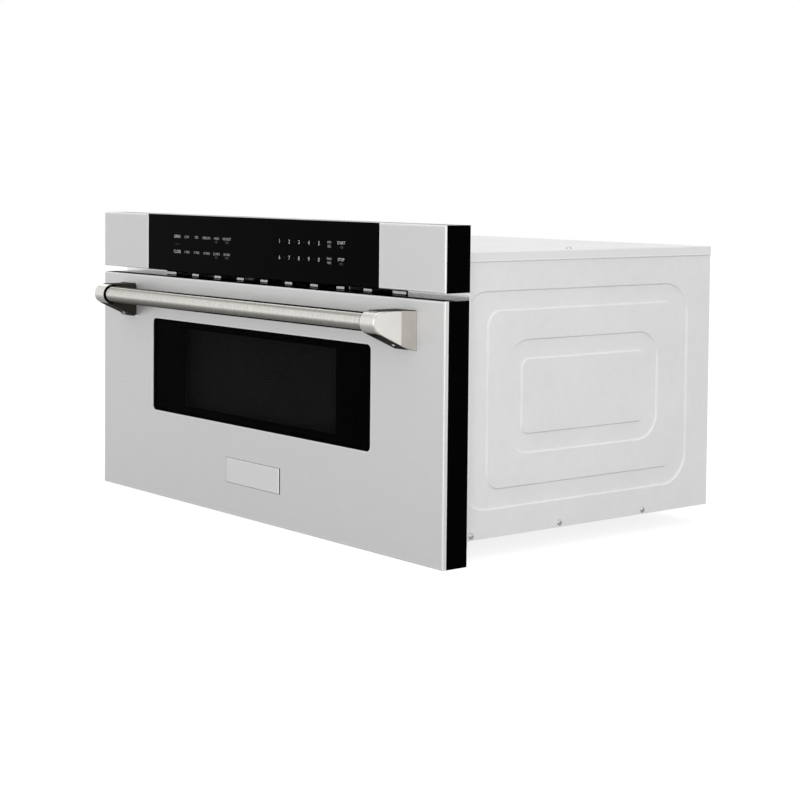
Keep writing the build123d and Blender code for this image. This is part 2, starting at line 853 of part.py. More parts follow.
def stirrer():
    """Shaft, hub and tilted sheet arms, turning under the cavity roof."""
    hub_z = cavity_top_height - stirrer_drop
    start = (0, stirrer_y, hub_z - stirrer_hub_height / 2)
    blade = rod(start, (0, 0, 1), stirrer_hub_radius, stirrer_hub_height)
    arm = Box(
        stirrer_radius,
        stirrer_arm_width,
        stirrer_sheet,
        align=(Align.MIN, Align.CENTER, Align.CENTER),
    )
    for i in range(stirrer_arms):
        turn = Rot(0, 0, 360 * i / stirrer_arms) * Rot(stirrer_tilt, 0, 0)
        blade += Pos(0, stirrer_y, hub_z) * turn * arm
    shaft_top = waveguide_top + shaft_entry - shaft_end_gap
    return blade + rod(start, (0, 0, 1), stirrer_shaft_radius, shaft_top - start[2])


def stirrer_motor():
    """A round motor on the waveguide, with a blind bore for the stirrer's shaft."""
    seat = (0, stirrer_y, waveguide_top)
    ear_x = about(0, 2 * (stirrer_motor_radius + stirrer_ear))
    ear_z = (waveguide_top, waveguide_top + waveguide_sheet)
    motor = rod(seat, (0, 0, 1), stirrer_motor_radius, stirrer_motor_height)
    motor += block(ear_x, about(stirrer_y, stirrer_ear_width), ear_z)
    return motor - rod(seat, (0, 0, 1), stirrer_shaft_radius + shaft_gap, shaft_entry)


write("waveguide", waveguide())
write("magnetron", magnetron())
write("stirrer", stirrer())
write("stirrer_motor", stirrer_motor())


# ---- cooling fan and duct ------------------------------------------------------
fan_bore = fan_radius + fan_tip_gap
duct_x = about(fan_x, duct_z[1] - duct_z[0])
fan_back = rear_inside
fan_front = fan_back - fan_plate_thick - fan_depth
fan_middle = (fan_front + fan_back) / 2
fan_motor_back = fan_front - fan_motor_gap
fan_motor_front = fan_motor_back - fan_motor_length


def fan_rod(y, radius, length):
    """A round bar on the fan's axis, from one depth towards the rear."""
    return rod((fan_x, y, fan_z), (0, 1, 0), radius, length)


def fan_housing():
    """Plate and ring round the fan, with two arms and a bridge for its motor."""
    bridge_front = fan_motor_front - fan_plate_thick
    arm_z = about(fan_z, fan_arm_height)
    housing = block(duct_x, (fan_back - fan_plate_thick, fan_back), duct_z)
    housing += fan_rod(fan_front, fan_bore + fan_duct_wall, fan_back - fan_front)
    for x in (duct_x[0], duct_x[1] - fan_arm_width):
        housing += block((x, x + fan_arm_width), (bridge_front, fan_back), arm_z)
    housing += block(duct_x, (bridge_front, fan_motor_front), arm_z)
    return housing - fan_rod(fan_motor_front, fan_bore, fan_back - fan_motor_front)


def fan_motor():
    motor = fan_rod(fan_motor_front, fan_motor_radius, fan_motor_length)
    bore_radius = fan_shaft_radius + shaft_gap
    return motor - fan_rod(fan_motor_back - shaft_entry, bore_radius, shaft_entry)


def fan_blade():
    """Hub on its shaft with pitched blades."""
    fan = fan_rod(fan_middle - fan_hub_length / 2, fan_hub_radius, fan_hub_length)
    sweep_room = fan_rod(fan_front, fan_radius, fan_back - fan_front)
    blade = Box(
        fan_blade_width,
        fan_blade_thick,
        fan_bore,
        align=(Align.CENTER, Align.CENTER, Align.MIN),
    )
    for i in range(fan_blades):
        turn = Rot(0, 360 * i / fan_blades, 0) * Rot(0, 0, fan_pitch)
        fan += (Pos(fan_x, fan_middle, fan_z) * turn * blade) & sweep_room
    shaft_start = fan_motor_back - shaft_entry + shaft_end_gap
    return fan + fan_rod(shaft_start, fan_shaft_radius, fan_middle - shaft_start)


def air_duct():
    """Open-ended duct from the magnetron to the slots in the flange."""
    y = (0, waveguide_y[0] - duct_gap)
    outer = block(duct_x, y, duct_z)
    return outer - block(
        (duct_x[0] + duct_wall, duct_x[1] - duct_wall),
        y,
        (duct_z[0] + duct_wall, duct_z[1] - duct_wall),
    )


def cavity_lamp():
    """A round shade over the hole in the cavity roof, with its bulb inside."""
    base = (lamp_x, lamp_y, cavity_roof)
    seat = (lamp_x, lamp_y, cavity_roof + lamp_sheet)
    shade_inside = lamp_length - lamp_shade_wall
    ceiling = (lamp_x, lamp_y, seat[2] + shade_inside)
    plate = block(about(lamp_x, lamp_plate), about(lamp_y, lamp_plate), (base[2], seat[2]))
    plate -= rod(base, (0, 0, 1), lamp_hole_radius, lamp_sheet)
    shade = rod(seat, (0, 0, 1), lamp_radius + lamp_shade_wall, lamp_length)
    shade -= rod(seat, (0, 0, 1), lamp_radius, shade_inside)
    return plate + shade + rod(ceiling, (0, 0, -1), bulb_radius, bulb_length)


write("fan_housing", fan_housing())
write("fan_motor", fan_motor())
write("fan_blade", fan_blade())
write("air_duct", air_duct())
write("cavity_lamp", cavity_lamp())


# ---- electrics in the side bays ------------------------------------------------
bay_right = side_panel_inside - groove_depth - bay_inset
transformer_back = rear_inside - transformer_rear_gap
transformer_y = (transformer_back - transformer_size[1], transformer_back)
capacitor_back = transformer_y[0] - capacitor_gap
filter_board_back = rear_inside - filter_board_rear_gap


def transformer():
    """Laminated core on two feet, with the coil through its middle."""
    wide, deep, tall = transformer_size
    x = (bay_right - wide, bay_right)
    y = transformer_y
    underside = body_sheet + transformer_coil
    top = body_sheet + tall
    core = block(x, y, (underside, top - transformer_coil))
    coil = block(
        (x[0] + transformer_coil, x[1] - transformer_coil),
        (y[0] + transformer_lamination, y[1] - transformer_lamination),
        (body_sheet + running_gap, top),
    )
    coil = fillet(coil.edges().filter_by(Axis.Z), transformer_coil_radius)
    foot = block(x, (y[0], y[0] + transformer_coil), (body_sheet, underside))
    return core + coil + foot + Pos(0, deep - transformer_coil, 0) * foot


def capacitor():
    wide, deep, tall = capacitor_size
    y = (capacitor_back - deep, capacitor_back)
    top = body_sheet + tall
    can = block((bay_right - wide, bay_right), y, (body_sheet, top))
    can = fillet(can.edges().filter_by(Axis.Z), capacitor_radius)
    radius, height = terminal_size
    for terminal_y in about(sum(y) / 2, terminal_spacing):
        can += rod((bay_right - wide / 2, terminal_y, top), (0, 0, 1), radius, height)
    return can


def filter_board():
    """The mains filter on four stand-offs, with its round choke."""
    wide, deep = filter_board_size
    x = (-bay_right, -bay_right + wide)
    y = (filter_board_back - deep, filter_board_back)
    lift = body_sheet + filter_board_lift
    board = block(x, y, (lift, lift + board_thick))
    for post_x in (x[0] + standoff_radius, x[1] - standoff_radius):
        for post_y in (y[0] + standoff_radius, y[1] - standoff_radius):
            foot = (post_x, post_y, body_sheet)
            board += rod(foot, (0, 0, 1), standoff_radius, filter_board_lift)
    choke_seat = (sum(x) / 2, y[0] + choke_setback, lift + board_thick)
    choke = rod(choke_seat, (0, 0, 1), choke_radius, choke_height)
    return board + choke - rod(choke_seat, (0, 0, 1), choke_bore, choke_height)


def cable_gland():
    """A hollow gland through the rear panel, with its collar outside."""
    start = (gland_x, body_depth - gland_length / 2, gland_z)
    body = rod(start, (0, 1, 0), gland_radius, gland_length)
    body += rod((gland_x, body_depth, gland_z), (0, 1, 0), gland_collar, gland_collar_thick)
    return body - rod(start, (0, 1, 0), gland_bore, gland_length)


def interlock_switches():
    """A bracket behind the flange with a switch beside each latch tongue."""
    wide, deep, tall = switch_size
    left = tongue_x + tongue_size[0] / 2 + switch_gap
    span = (tongue_heights[0] - tall, tongue_heights[-1] + tall)
    assembly = block((left + wide, left + wide + switch_bracket_sheet), (0, deep), span)
    assembly += block((left + wide, left + wide * 2), (0, switch_bracket_sheet), span)
    for z in tongue_heights:
        assembly += block((left, left + wide), (switch_bracket_sheet, deep), about(z, tall))
    return assembly


write("transformer", transformer())
write("capacitor", capacitor())
write("filter_board", filter_board())
write("cable_gland", cable_gland())
write("interlock_switches", both_sides(interlock_switches()))


# ---- telescopic slides -----------------------------------------------------------
slide_y = (door_back, door_back + slide_length)


def channel(x, z_half, sheet, web_outside, y):
    """One slide member: a channel lying on its side."""
    z = (slide_centre_height - z_half, slide_centre_height + z_half)
    outer = block(x, y, z)
    hollow_x = (x[0], x[1] - sheet) if web_outside else (x[0] + sheet, x[1])
    return outer - block(hollow_x, y, (z[0] + sheet, z[1] - sheet))


outer_half = slide_height / 2
middle_half = outer_half - slide_sheet - slide_race
inner_half = middle_half - slide_middle_sheet - slide_race
middle_x = (slide_inner_face + 2 * slide_side_gap, slide_outer_face - slide_sheet - slide_side_gap)
inner_x_range = (slide_inner_face, middle_x[1] - slide_middle_sheet - slide_side_gap)
fixed_y = (body_sheet, body_sheet + slide_length)
outer_x = (slide_inner_face + slide_side_gap, slide_outer_face)
write_pair("slide_outer", channel(outer_x, outer_half, slide_sheet, True, fixed_y))
write_pair("slide_middle", channel(middle_x, middle_half, slide_middle_sheet, True, fixed_y))
write_pair("slide_inner", channel(inner_x_range, inner_half, slide_sheet, False, slide_y))


def ball_cages(outside_half, x):
    """Strips of balls above and below, between two members on the right."""
    race_middle = outside_half - slide_race / 2
    ball_x = sum(x) / 2
    pitch = cage_length / cage_balls
    cages = None
    for z in (slide_centre_height - race_middle, slide_centre_height + race_middle):
        cage = block(x, (cage_setback, cage_setback + cage_length), about(z, cage_sheet))
        for i in range(cage_balls):
            centre = (ball_x, cage_setback + (i + 0.5) * pitch, z)
            cage += Pos(*centre) * Sphere(slide_race / 2 - ball_gap)
        cages = cage if cages is None else cages + cage
    return cages


outer_cage_x = (middle_x[0] + ball_gap, middle_x[1] - slide_side_gap)
inner_cage_x = (middle_x[0] + ball_gap, inner_x_range[1] - ball_gap)
write("outer_ball_cages", both_sides(ball_cages(outer_half - slide_sheet, outer_cage_x)))
write("inner_ball_cages", both_sides(ball_cages(middle_half - slide_middle_sheet, inner_cage_x)))


def slide_upright():
    """The folded bracket that carries a slide from the base plate."""
    x = (slide_outer_face, slide_outer_face + slide_sheet)
    top = slide_centre_height + outer_half
    web = block(x, fixed_y, (body_sheet, top))
    foot = block((x[0], x[1] + upright_foot), fixed_y, (body_sheet, body_sheet + slide_sheet))
    return web + foot


write_pair("slide_upright", slide_upright())


# ---- rack and pinion -------------------------------------------------------------
def involute_flank(base, tip, half_angle):
    """Points along one flank, from the base circle to the tip."""
    points = []
    end = math.sqrt((tip / base) ** 2 - 1)
    for i in range(flank_steps + 1):
        roll = end * i / flank_steps
        radius = base * math.sqrt(1 + roll * roll)
        points.append((radius, half_angle - (roll - math.atan(roll))))
    return points


def drive_pinion():
    alpha = math.radians(pressure_angle)
    base = pinion_radius * math.cos(alpha)
    tip = pinion_radius + gear_module
    root = pinion_radius - dedendum
    involute = math.tan(alpha) - alpha
    half_tooth = math.pi / (2 * pinion_teeth) - backlash / (4 * pinion_radius) + involute
    flank = involute_flank(base, tip, half_tooth)
    outline = []
    for i in range(pinion_teeth):
        # the tooth space faces the rack at rest, where a rack tooth stands
        centre = math.pi + 2 * math.pi * (i + 0.5) / pinion_teeth
        right = [(r, centre - a) for r, a in flank]
        left = [(r, centre + a) for r, a in reversed(flank)]
        outline += [(root, centre - half_tooth)] + right + left + [(root, centre + half_tooth)]
    points = [(pinion_x + r * math.cos(a), pinion_setback + r * math.sin(a)) for r, a in outline]
    bottom = rack_underside - (pinion_width - rack_height) / 2
    with BuildSketch(Plane.XY.offset(bottom)) as teeth:
        with BuildLine():
            Polyline(*points, close=True)
        make_face()
    gear = extrude(teeth.sketch, amount=pinion_width)
    shaft_top = gearbox_bottom + shaft_entry - shaft_end_gap
    return gear + rod((pinion_x, pinion_setback, bottom), (0, 0, 1), shaft_radius, shaft_top - bottom)


def drive_rack():
    pitch = math.pi * gear_module
    slope = math.tan(math.radians(pressure_angle))
    half = pitch / 4 - backlash / 4
    tip, root = gear_module, -dedendum
    back = -rack_width
    start = door_back
    first = pinion_setback - pitch * math.floor((pinion_setback - start - pitch) / pitch)
    count = int((start + rack_length - pitch - first) / pitch)
    points = [(back, start), (root, start)]
    for i in range(count):
        centre = first + i * pitch
        points += [(root, centre - half + root * slope), (tip, centre - half + tip * slope)]
        points += [(tip, centre + half - tip * slope), (root, centre + half - root * slope)]
    points += [(root, start + rack_length), (back, start + rack_length)]
    with BuildSketch(Plane.XY.offset(rack_underside)) as teeth:
        with BuildLine():
            Polyline(*points, close=True)
        make_face()
    return extrude(teeth.sketch, amount=rack_height)


def drive_gearbox():
    """A closed case over the pinion, on three pillars from the base plate."""
    x = (pinion_x - gearbox_left, pinion_x + gearbox_width)
    y = gearbox_y
    case = block(x, y, (gearbox_bottom, gearbox_bottom + gearbox_height))
    left, right = x[0] + pillar_radius, x[1] - pillar_radius
    front, rear = y[0] + pillar_radius, y[1] - pillar_radius
    for foot_x, foot_y in ((right, front), (right, rear), (left, rear)):
        foot = (foot_x, foot_y, body_sheet)
        case += rod(foot, (0, 0, 1), pillar_radius, gearbox_bottom - body_sheet)
    mouth = (pinion_x, pinion_setback, gearbox_bottom)
    return case - rod(mouth, (0, 0, 1), shaft_radius + shaft_gap, shaft_entry)


def drive_motor():
    """The motor behind the gearbox, in a cradle on the base plate."""
    x = pinion_x + gearbox_width / 2
    front = gearbox_y[1]
    axis_z = body_sheet + motor_lift + motor_radius
    can = rod((x, front, axis_z), (0, 1, 0), motor_radius, motor_length)
    can += rod((x, front + motor_length, axis_z), (0, 1, 0), motor_boss_radius, motor_boss_length)
    cradle_y = (front + motor_lift, front + motor_lift + cradle_thick)
    return can + block(about(x, motor_radius), cradle_y, (body_sheet, axis_z))


def rack_guide():
    """A plastic channel under and behind the rack, which keeps it in mesh."""
    y = (body_sheet, body_sheet + guide_length)
    wall_x = (-rack_width - guide_gap - guide_wall, -rack_width - guide_gap)
    shelf = block((wall_x[0], -dedendum), y, (body_sheet, rack_underside - guide_gap))
    return shelf + block(wall_x, y, (body_sheet, rack_underside + rack_height))


write("drive_pinion", drive_pinion())
write("drive_rack", drive_rack())
write("drive_gearbox", drive_gearbox())
write("drive_motor", drive_motor())
write("rack_guide", rack_guide())
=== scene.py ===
import math

import bmesh
import bpy
from mathutils import Euler, Matrix, Vector


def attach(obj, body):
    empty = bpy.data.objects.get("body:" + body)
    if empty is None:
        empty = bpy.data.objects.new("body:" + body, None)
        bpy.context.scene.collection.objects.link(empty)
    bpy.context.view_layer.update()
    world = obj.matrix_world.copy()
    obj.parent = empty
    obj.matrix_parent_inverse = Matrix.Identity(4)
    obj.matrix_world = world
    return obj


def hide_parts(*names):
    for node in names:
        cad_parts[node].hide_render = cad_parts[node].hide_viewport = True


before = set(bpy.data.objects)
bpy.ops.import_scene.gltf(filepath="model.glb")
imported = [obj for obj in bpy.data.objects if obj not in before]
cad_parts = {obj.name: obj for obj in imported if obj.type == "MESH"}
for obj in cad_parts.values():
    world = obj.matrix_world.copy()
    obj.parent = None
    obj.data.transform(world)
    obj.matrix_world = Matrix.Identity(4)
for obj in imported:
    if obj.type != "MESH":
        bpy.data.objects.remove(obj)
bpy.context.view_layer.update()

# A built-in microwave drawer. Metres, +Z up, the front towards -Y, X = 0 in the middle.


# ---- casing sheets -------------------------------------------------------------------
# Side panels with pressed ring grooves, base, rear panel, folded top cover and mounting
# flange: 1 mm steel, electro-zinc plated, which leaves a pale grey skin with a fine grain.
# The cover's folded edge laps over the top of each side and ends in a small rolled lip.
def grow(tree, kind, feeds=(), **settings):
    """Adds a node; feeds maps its inputs, by name or number, to values or sockets."""
    node = tree.nodes.new(kind)
    for key, value in settings.items():
        setattr(node, key, value)
    for key, value in dict(feeds).items():
        if isinstance(value, bpy.types.NodeSocket):
            tree.links.new(value, node.inputs[key])
        else:
            node.inputs[key].default_value = value
    return node


def result(tree, kind, feeds=(), **settings):
    """The first output of an added node."""
    return grow(tree, kind, feeds, **settings).outputs[0]


def worked(tree, operation, *values):
    """The result of one Math node."""
    return result(tree, "ShaderNodeMath", dict(enumerate(values)), operation=operation)


def dot(tree, one, other):
    """How far two directions agree."""
    node = grow(tree, "ShaderNodeVectorMath", {0: one, 1: other}, operation="DOT_PRODUCT")
    return node.outputs["Value"]


def spread(tree, value, low, high, first, last):
    """A value moved from one range to another, and held at its ends."""
    ends = {"Value": value, "From Min": low, "From Max": high, "To Min": first, "To Max": last}
    return result(tree, "ShaderNodeMapRange", ends)


def blended(tree, share, one, other):
    """A colour between two."""
    return grow(tree, "ShaderNodeMix", {0: share, 6: one, 7: other}, data_type="RGBA").outputs[2]


def texture(tree, kind, grain):
    """A pattern from -1 to 1. The size of its grain is one number, or one for each axis."""
    place = grow(tree, "ShaderNodeTexCoord").outputs["Object"]
    scale = [1 / size for size in (grain if isinstance(grain, tuple) else (grain,) * 3)]
    scaled = result(tree, "ShaderNodeMapping", {"Vector": place, "Scale": scale})
    if kind == "ridges":
        turns = dot(tree, scaled, (1, 1, 1))
        return worked(tree, "SINE", worked(tree, "MULTIPLY", turns, math.tau))
    if kind == "noise":
        feeds = {"Vector": scaled, "Scale": 1.0, "Detail": 3.0}
        return spread(tree, result(tree, "ShaderNodeTexNoise", feeds), 0.3, 0.7, -1.0, 1.0)
    cells = grow(tree, "ShaderNodeTexVoronoi", {"Vector": scaled, "Scale": 1.0}).outputs
    if kind == "specks":
        return spread(tree, cells["Distance"], 0.32, 0.22, -1.0, 1.0)
    one_of_cell = result(tree, "ShaderNodeSeparateXYZ", {0: cells["Color"]})
    return spread(tree, one_of_cell, 0.0, 1.0, -1.0, 1.0)


def finish(name, dark, light, roughness, layers,
           metallic=0.0, specular=0.5, edge=None, **constants):
    """A material between two colours, of which a grey is one number. A layer is its pattern,
    the size of its grain, and its share of the colour, of the roughness and, in metres, of
    the relief. An edge is how far a painted highlight reaches from each sharp edge, and its
    brightness."""
    material = bpy.data.materials.new(name)
    material.use_nodes = True
    tree = material.node_tree
    shader = tree.nodes["Principled BSDF"]
    constants = {"Metallic": metallic, "Specular_IOR_Level": specular, **constants}
    for label, value in constants.items():
        shader.inputs[label.replace("_", " ")].default_value = value
    dark, light = (c if isinstance(c, tuple) else (c, c, c) for c in (dark, light))
    shade, rough, relief = 0.5, roughness, None
    for kind, grain, of_colour, of_roughness, height in layers:
        value = texture(tree, kind, grain)
        if of_colour:
            shade = worked(tree, "MULTIPLY_ADD", value, of_colour / 2, shade)
        if of_roughness:
            rough = worked(tree, "MULTIPLY_ADD", value, of_roughness, rough)
        if height:
            bump = grow(tree, "ShaderNodeBump", {"Height": value, "Distance": height})
            if relief:
                tree.links.new(relief, bump.inputs["Normal"])
            relief = bump.outputs[0]
    tone = blended(tree, shade, (*dark, 1), (*light, 1))
    # Sharp edges are painted toward a brighter level: a painted highlight, not wear.
    if edge:
        reach, level = edge
        bent = result(tree, "ShaderNodeBevel", {"Radius": reach}, samples=4)
        plain = grow(tree, "ShaderNodeNewGeometry").outputs["Normal"]
        edge_highlight = spread(tree, dot(tree, bent, plain), 0.995, 0.94, 0.0, 1.0)
        tone = blended(tree, edge_highlight, tone, (level, level, level, 1))
    tree.links.new(tone, shader.inputs["Base Color"])
    if rough is roughness:
        shader.inputs["Roughness"].default_value = roughness
    else:
        tree.links.new(rough, shader.inputs["Roughness"])
    if relief:
        tree.links.new(relief, shader.inputs["Normal"])
    return material


def dress(material, *nodes):
    """Gives CAD nodes their material."""
    for node in nodes:
        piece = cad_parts[node]
        if not piece.material_slots:
            piece.data.materials.append(material)
        for slot in piece.material_slots:
            slot.material = material


zinc = finish(
    "zinc plated sheet", 0.83, 0.9, 0.65,
    [
        ("noise", 0.09, 0.5, 0.05, 0),
        ("noise", (0.004, 0.012, 0.012), 0.3, 0.06, 0.00001),
        ("noise", 0.0012, 0.2, 0.04, 0.000004),
    ],
    specular=0.2,
)
dress(zinc, "side_panel_left", "side_panel_right", "top_cover", "rear_panel", "base_plate")
bright_sheet = finish(
    "bright flange sheet", 0.8, 0.9, 0.2,
    [("noise", 0.06, 0.5, 0.03, 0), ("noise", (0.03, 0.03, 0.0008), 0.15, 0.01, 0)],
    metallic=1.0,
)
dress(bright_sheet, "mounting_flange")


def built(name, rings, hollow=False):
    """A closed mesh over rings of corners. Those of a hollow one run round its wall, and the
    last joins the first; otherwise the first and the last are capped."""
    form = bmesh.new()
    loops = [[form.verts.new(corner) for corner in ring] for ring in rings]
    if hollow:
        loops.append(loops[0])
    else:
        form.faces.new(loops[0])
        form.faces.new(loops[-1])
    for near, far in zip(loops, loops[1:]):
        for i in range(len(near)):
            form.faces.new((near[i - 1], near[i], far[i], far[i - 1]))
    bmesh.ops.recalc_face_normals(form, faces=form.faces)
    mesh = bpy.data.meshes.new(name)
    form.to_mesh(mesh)
    form.free()
    return mesh


def stand(name, mesh, material, body):
    """A piece from a finished mesh, riding on a body."""
    mesh.materials.append(material)
    piece = bpy.data.objects.new(name, mesh)
    bpy.context.scene.collection.objects.link(piece)
    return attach(piece, body)


# A lighter, glossier copy of the zinc for the cover's fold: a painted highlight where the fold
# catches light.
lit_fold_sheet = finish(
    "zinc fold painted lighter", 0.85, 0.92, 0.45,
    [
        ("noise", 0.09, 0.5, 0.05, 0),
        ("noise", (0.0012, 0.012, 0.0012), 0.3, 0.04, 0.000004),
    ],
    metallic=0.1, specular=0.35,
)
sides = ((-1, "left"), (1, "right"))
fold_outline = (
    (0.3559, 0.3412), (0.3563, 0.341), (0.3565, 0.3404), (0.3565, 0.3315),
    (0.3567, 0.3306), (0.3567, 0.3301), (0.3564, 0.3297), (0.3559, 0.3296),
)
fold_ends = (0.0015, 0.4432)
for side, word in sides:
    rings = [[(side * x, y, z) for x, z in fold_outline] for y in fold_ends]
    fold = stand(f"cover_fold_{word}", built(f"cover_fold_{word}", rings), lit_fold_sheet, "chassis")


# ---- casing screws -------------------------------------------------------------------
# Fourteen zinc-plated pan-head sheet screws with a cross recess: three along the lower
# edge of each side, one in the top near each side, three up each edge of the rear.
def soften(mesh):
    """Smooth faces, with the edges over 35 degrees kept sharp."""
    mesh.shade_smooth()
    mesh.set_sharp_from_angle(angle=math.radians(35))


def recipe(name, **sizes):
    """A geometry tree with named inputs; returns it and its input sockets."""
    tree = bpy.data.node_groups.new(name, "GeometryNodeTree")
    geometry = {"name": "Geometry", "socket_type": "NodeSocketGeometry"}
    tree.interface.new_socket(in_out="INPUT", **geometry)
    for label, value in sizes.items():
        kind = "NodeSocketInt" if isinstance(value, int) else "NodeSocketFloat"
        label = label.replace("_", " ")
        tree.interface.new_socket(label, in_out="INPUT", socket_type=kind).default_value = value
    tree.interface.new_socket(in_out="OUTPUT", **geometry)
    return tree, tree.nodes.new("NodeGroupInput").outputs


def serve(tree, shape, material):
    """Ends a tree: instances become real, and the material is set."""
    real = result(tree, "GeometryNodeRealizeInstances", {"Geometry": shape})
    coated = result(tree, "GeometryNodeSetMaterial", {"Geometry": real, "Material": material})
    grow(tree, "NodeGroupOutput", {"Geometry": coated})


def grown(name, tree, body, points=((0, 0, 0),), facing=None, start=None, **sizes):
    """The plain mesh that a tree makes on points, riding on a body."""
    mesh = start or bpy.data.meshes.new(name)
    if not start:
        mesh.from_pydata(points, [], [])
    if facing:
        outward = mesh.attributes.new("outward", "FLOAT_VECTOR", "POINT")
        for item, direction in zip(outward.data, facing):
            item.vector = direction
    piece = bpy.data.objects.new(name, mesh)
    bpy.context.scene.collection.objects.link(piece)
    modifier = piece.modifiers.new("shape", "NODES")
    modifier.node_group = tree
    for item in tree.interface.items_tree:
        label = item.name.replace(" ", "_")
        if item.in_out == "INPUT" and label in sizes:
            modifier[item.identifier] = sizes[label]
    evaluated = piece.evaluated_get(bpy.context.evaluated_depsgraph_get())
    plain = bpy.data.meshes.new_from_object(evaluated)
    piece.modifiers.remove(modifier)
    piece.data = plain
    bpy.data.meshes.remove(mesh)
    soften(plain)
    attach(piece, body)
    return piece


def vector(tree, x=0.0, y=0.0, z=0.0):
    """Three values or sockets as one vector."""
    return result(tree, "ShaderNodeCombineXYZ", {0: x, 1: y, 2: z})


def line(tree, end):
    """A straight line from the origin."""
    return result(tree, "GeometryNodeCurvePrimitiveLine", {"Start": (0, 0, 0), "End": end})


def circle(tree, corners, radius):
    """A circle, or a polygon of few corners."""
    feeds = {"Resolution": corners, "Radius": radius}
    return result(tree, "GeometryNodeCurvePrimitiveCircle", feeds)


def swept(tree, path, outline, **scale):
    """An outline carried along a path, with its ends capped."""
    feeds = {"Curve": path, "Profile Curve": outline, "Fill Caps": True, **scale}
    return result(tree, "GeometryNodeCurveToMesh", feeds)


def prism(tree, outline, low, high):
    """A closed bar along Z with the given outline."""
    return result(tree, "GeometryNodeTransform", {
        "Geometry": swept(tree, line(tree, (0, 0, 1)), outline),
        "Translation": vector(tree, z=low),
        "Scale": vector(tree, 1.0, 1.0, worked(tree, "SUBTRACT", high, low)),
    })


def carved(tree, block, tool):
    """A block with the shape of a tool cut out of it."""
    how = {"operation": "DIFFERENCE", "solver": "EXACT"}
    return result(tree, "GeometryNodeMeshBoolean", {0: block, 1: tool}, **how)


def seated(tree, points, shape):
    """A shape on every point, with its Z along the point's own outward direction."""
    named = {"Name": "outward"}
    outward = result(tree, "GeometryNodeInputNamedAttribute", named, data_type="FLOAT_VECTOR")
    turned = result(tree, "FunctionNodeAlignRotationToVector", {"Vector": outward}, axis="Z")
    feeds = {"Points": points, "Instance": shape, "Rotation": turned}
    return result(tree, "GeometryNodeInstanceOnPoints", feeds)


plated = finish(
    "bright zinc screw", (0.55, 0.55, 0.56), 0.75, 0.28,
    [("noise", 0.001, 0.8, 0.08, 0.00001)], metallic=0.6,
)
screw, sizes = recipe(
    "screw", Head_Radius=0.004, Head_Height=0.0022, Dome=0.93,
    Drive_Points=4, Drive_Outer=0.0022, Drive_Inner=0.0008, Drive_Depth=0.0013,
)
spine = line(screw, vector(screw, z=sizes["Head Height"]))
spine = result(screw, "GeometryNodeResampleCurve", {"Curve": spine, "Count": 9})
along = grow(screw, "GeometryNodeSplineParameter").outputs["Factor"]
fall = worked(screw, "POWER", worked(screw, "MULTIPLY", along, sizes["Dome"]), 2.6)
dome = worked(screw, "SQRT", worked(screw, "SUBTRACT", 1.0, fall))
dome = worked(screw, "MULTIPLY", dome, sizes["Head Radius"])
head = swept(screw, spine, circle(screw, 28, 1.0), Scale=dome)
star = result(screw, "GeometryNodeCurveStar", {
    "Points": sizes["Drive Points"],
    "Inner Radius": sizes["Drive Inner"],
    "Outer Radius": sizes["Drive Outer"],
})
deep = worked(screw, "SUBTRACT", sizes["Head Height"], sizes["Drive Depth"])
drive = prism(screw, star, deep, worked(screw, "ADD", sizes["Head Height"], 0.001))
serve(screw, seated(screw, sizes["Geometry"], carved(screw, head, drive)), plated)

side_face, top_face, rear_face = 0.355, 0.341, 0.444
lower_row, along_side = 0.006, (0.027, 0.173, 0.321)
top_x, top_y = 0.324, 0.214
rear_x, up_rear = 0.332, (0.012, 0.1705, 0.329)
seats = [
    ((side * side_face, y, lower_row), (side, 0, 0)) for side in (-1, 1) for y in along_side
]
seats += [((side * top_x, top_y, top_face), (0, 0, 1)) for side in (-1, 1)]
seats += [((side * rear_x, rear_face, z), (0, 1, 0)) for side in (-1, 1) for z in up_rear]
screws = grown("casing_screw_heads", screw, "chassis", *zip(*seats))
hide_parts("casing_screws")


# ---- oven cavity ---------------------------------------------------------------------
# The fixed box that the tub slides into, folded from 1 mm steel and coated in light grey
# enamel with fine darker specks, with the flat rim that the inner door closes on.
enamel = finish(
    "speckled grey enamel", (0.5, 0.5, 0.49), (0.64, 0.64, 0.62), 0.3,
    [
        ("noise", 0.06, 0.3, 0.04, 0),
        ("specks", 0.0045, -0.5, 0, 0),
        ("noise", 0.006, 0.1, 0, 0.00004),
    ],
    specular=0.4,
)
dress(enamel, "oven_cavity")


# ---- stirrer and waveguide -----------------------------------------------------------
# A galvanised sheet duct carries the waves to the cavity roof, where a slow motor turns
# four aluminium arms above a mica sheet, which keeps spatter out.
galvanised = finish(
    "galvanised sheet", (0.4, 0.41, 0.42), (0.66, 0.67, 0.68), 0.42,
    [("cells", 0.011, 0.7, 0.12, 0), ("noise", 0.0015, 0.3, 0.05, 0.00001)],
    metallic=0.85,
)
mica = finish(
    "mica board", (0.42, 0.36, 0.26), (0.66, 0.6, 0.48), 0.6,
    [("noise", (0.02, 0.02, 0.004), 0.6, 0.1, 0), ("cells", 0.003, 0.4, 0.1, 0.00005)],
)
rolled_aluminium = finish(
    "rolled aluminium", (0.6, 0.6, 0.61), (0.74, 0.74, 0.75), 0.32,
    [("noise", (0.03, 0.0008, 0.0008), 0.7, 0.1, 0.000004)], metallic=1.0,
)
black_moulding = finish(
    "black moulding", 0.0004, 0.0009, 0.5,
    [("noise", 0.03, 0.5, 0.06, 0), ("noise", 0.0009, 0.5, 0.05, 0.00002)],
    specular=0.012,
)
dress(galvanised, "waveguide")
dress(mica, "stirrer_cover")
dress(rolled_aluminium, "stirrer")
dress(black_moulding, "stirrer_motor")


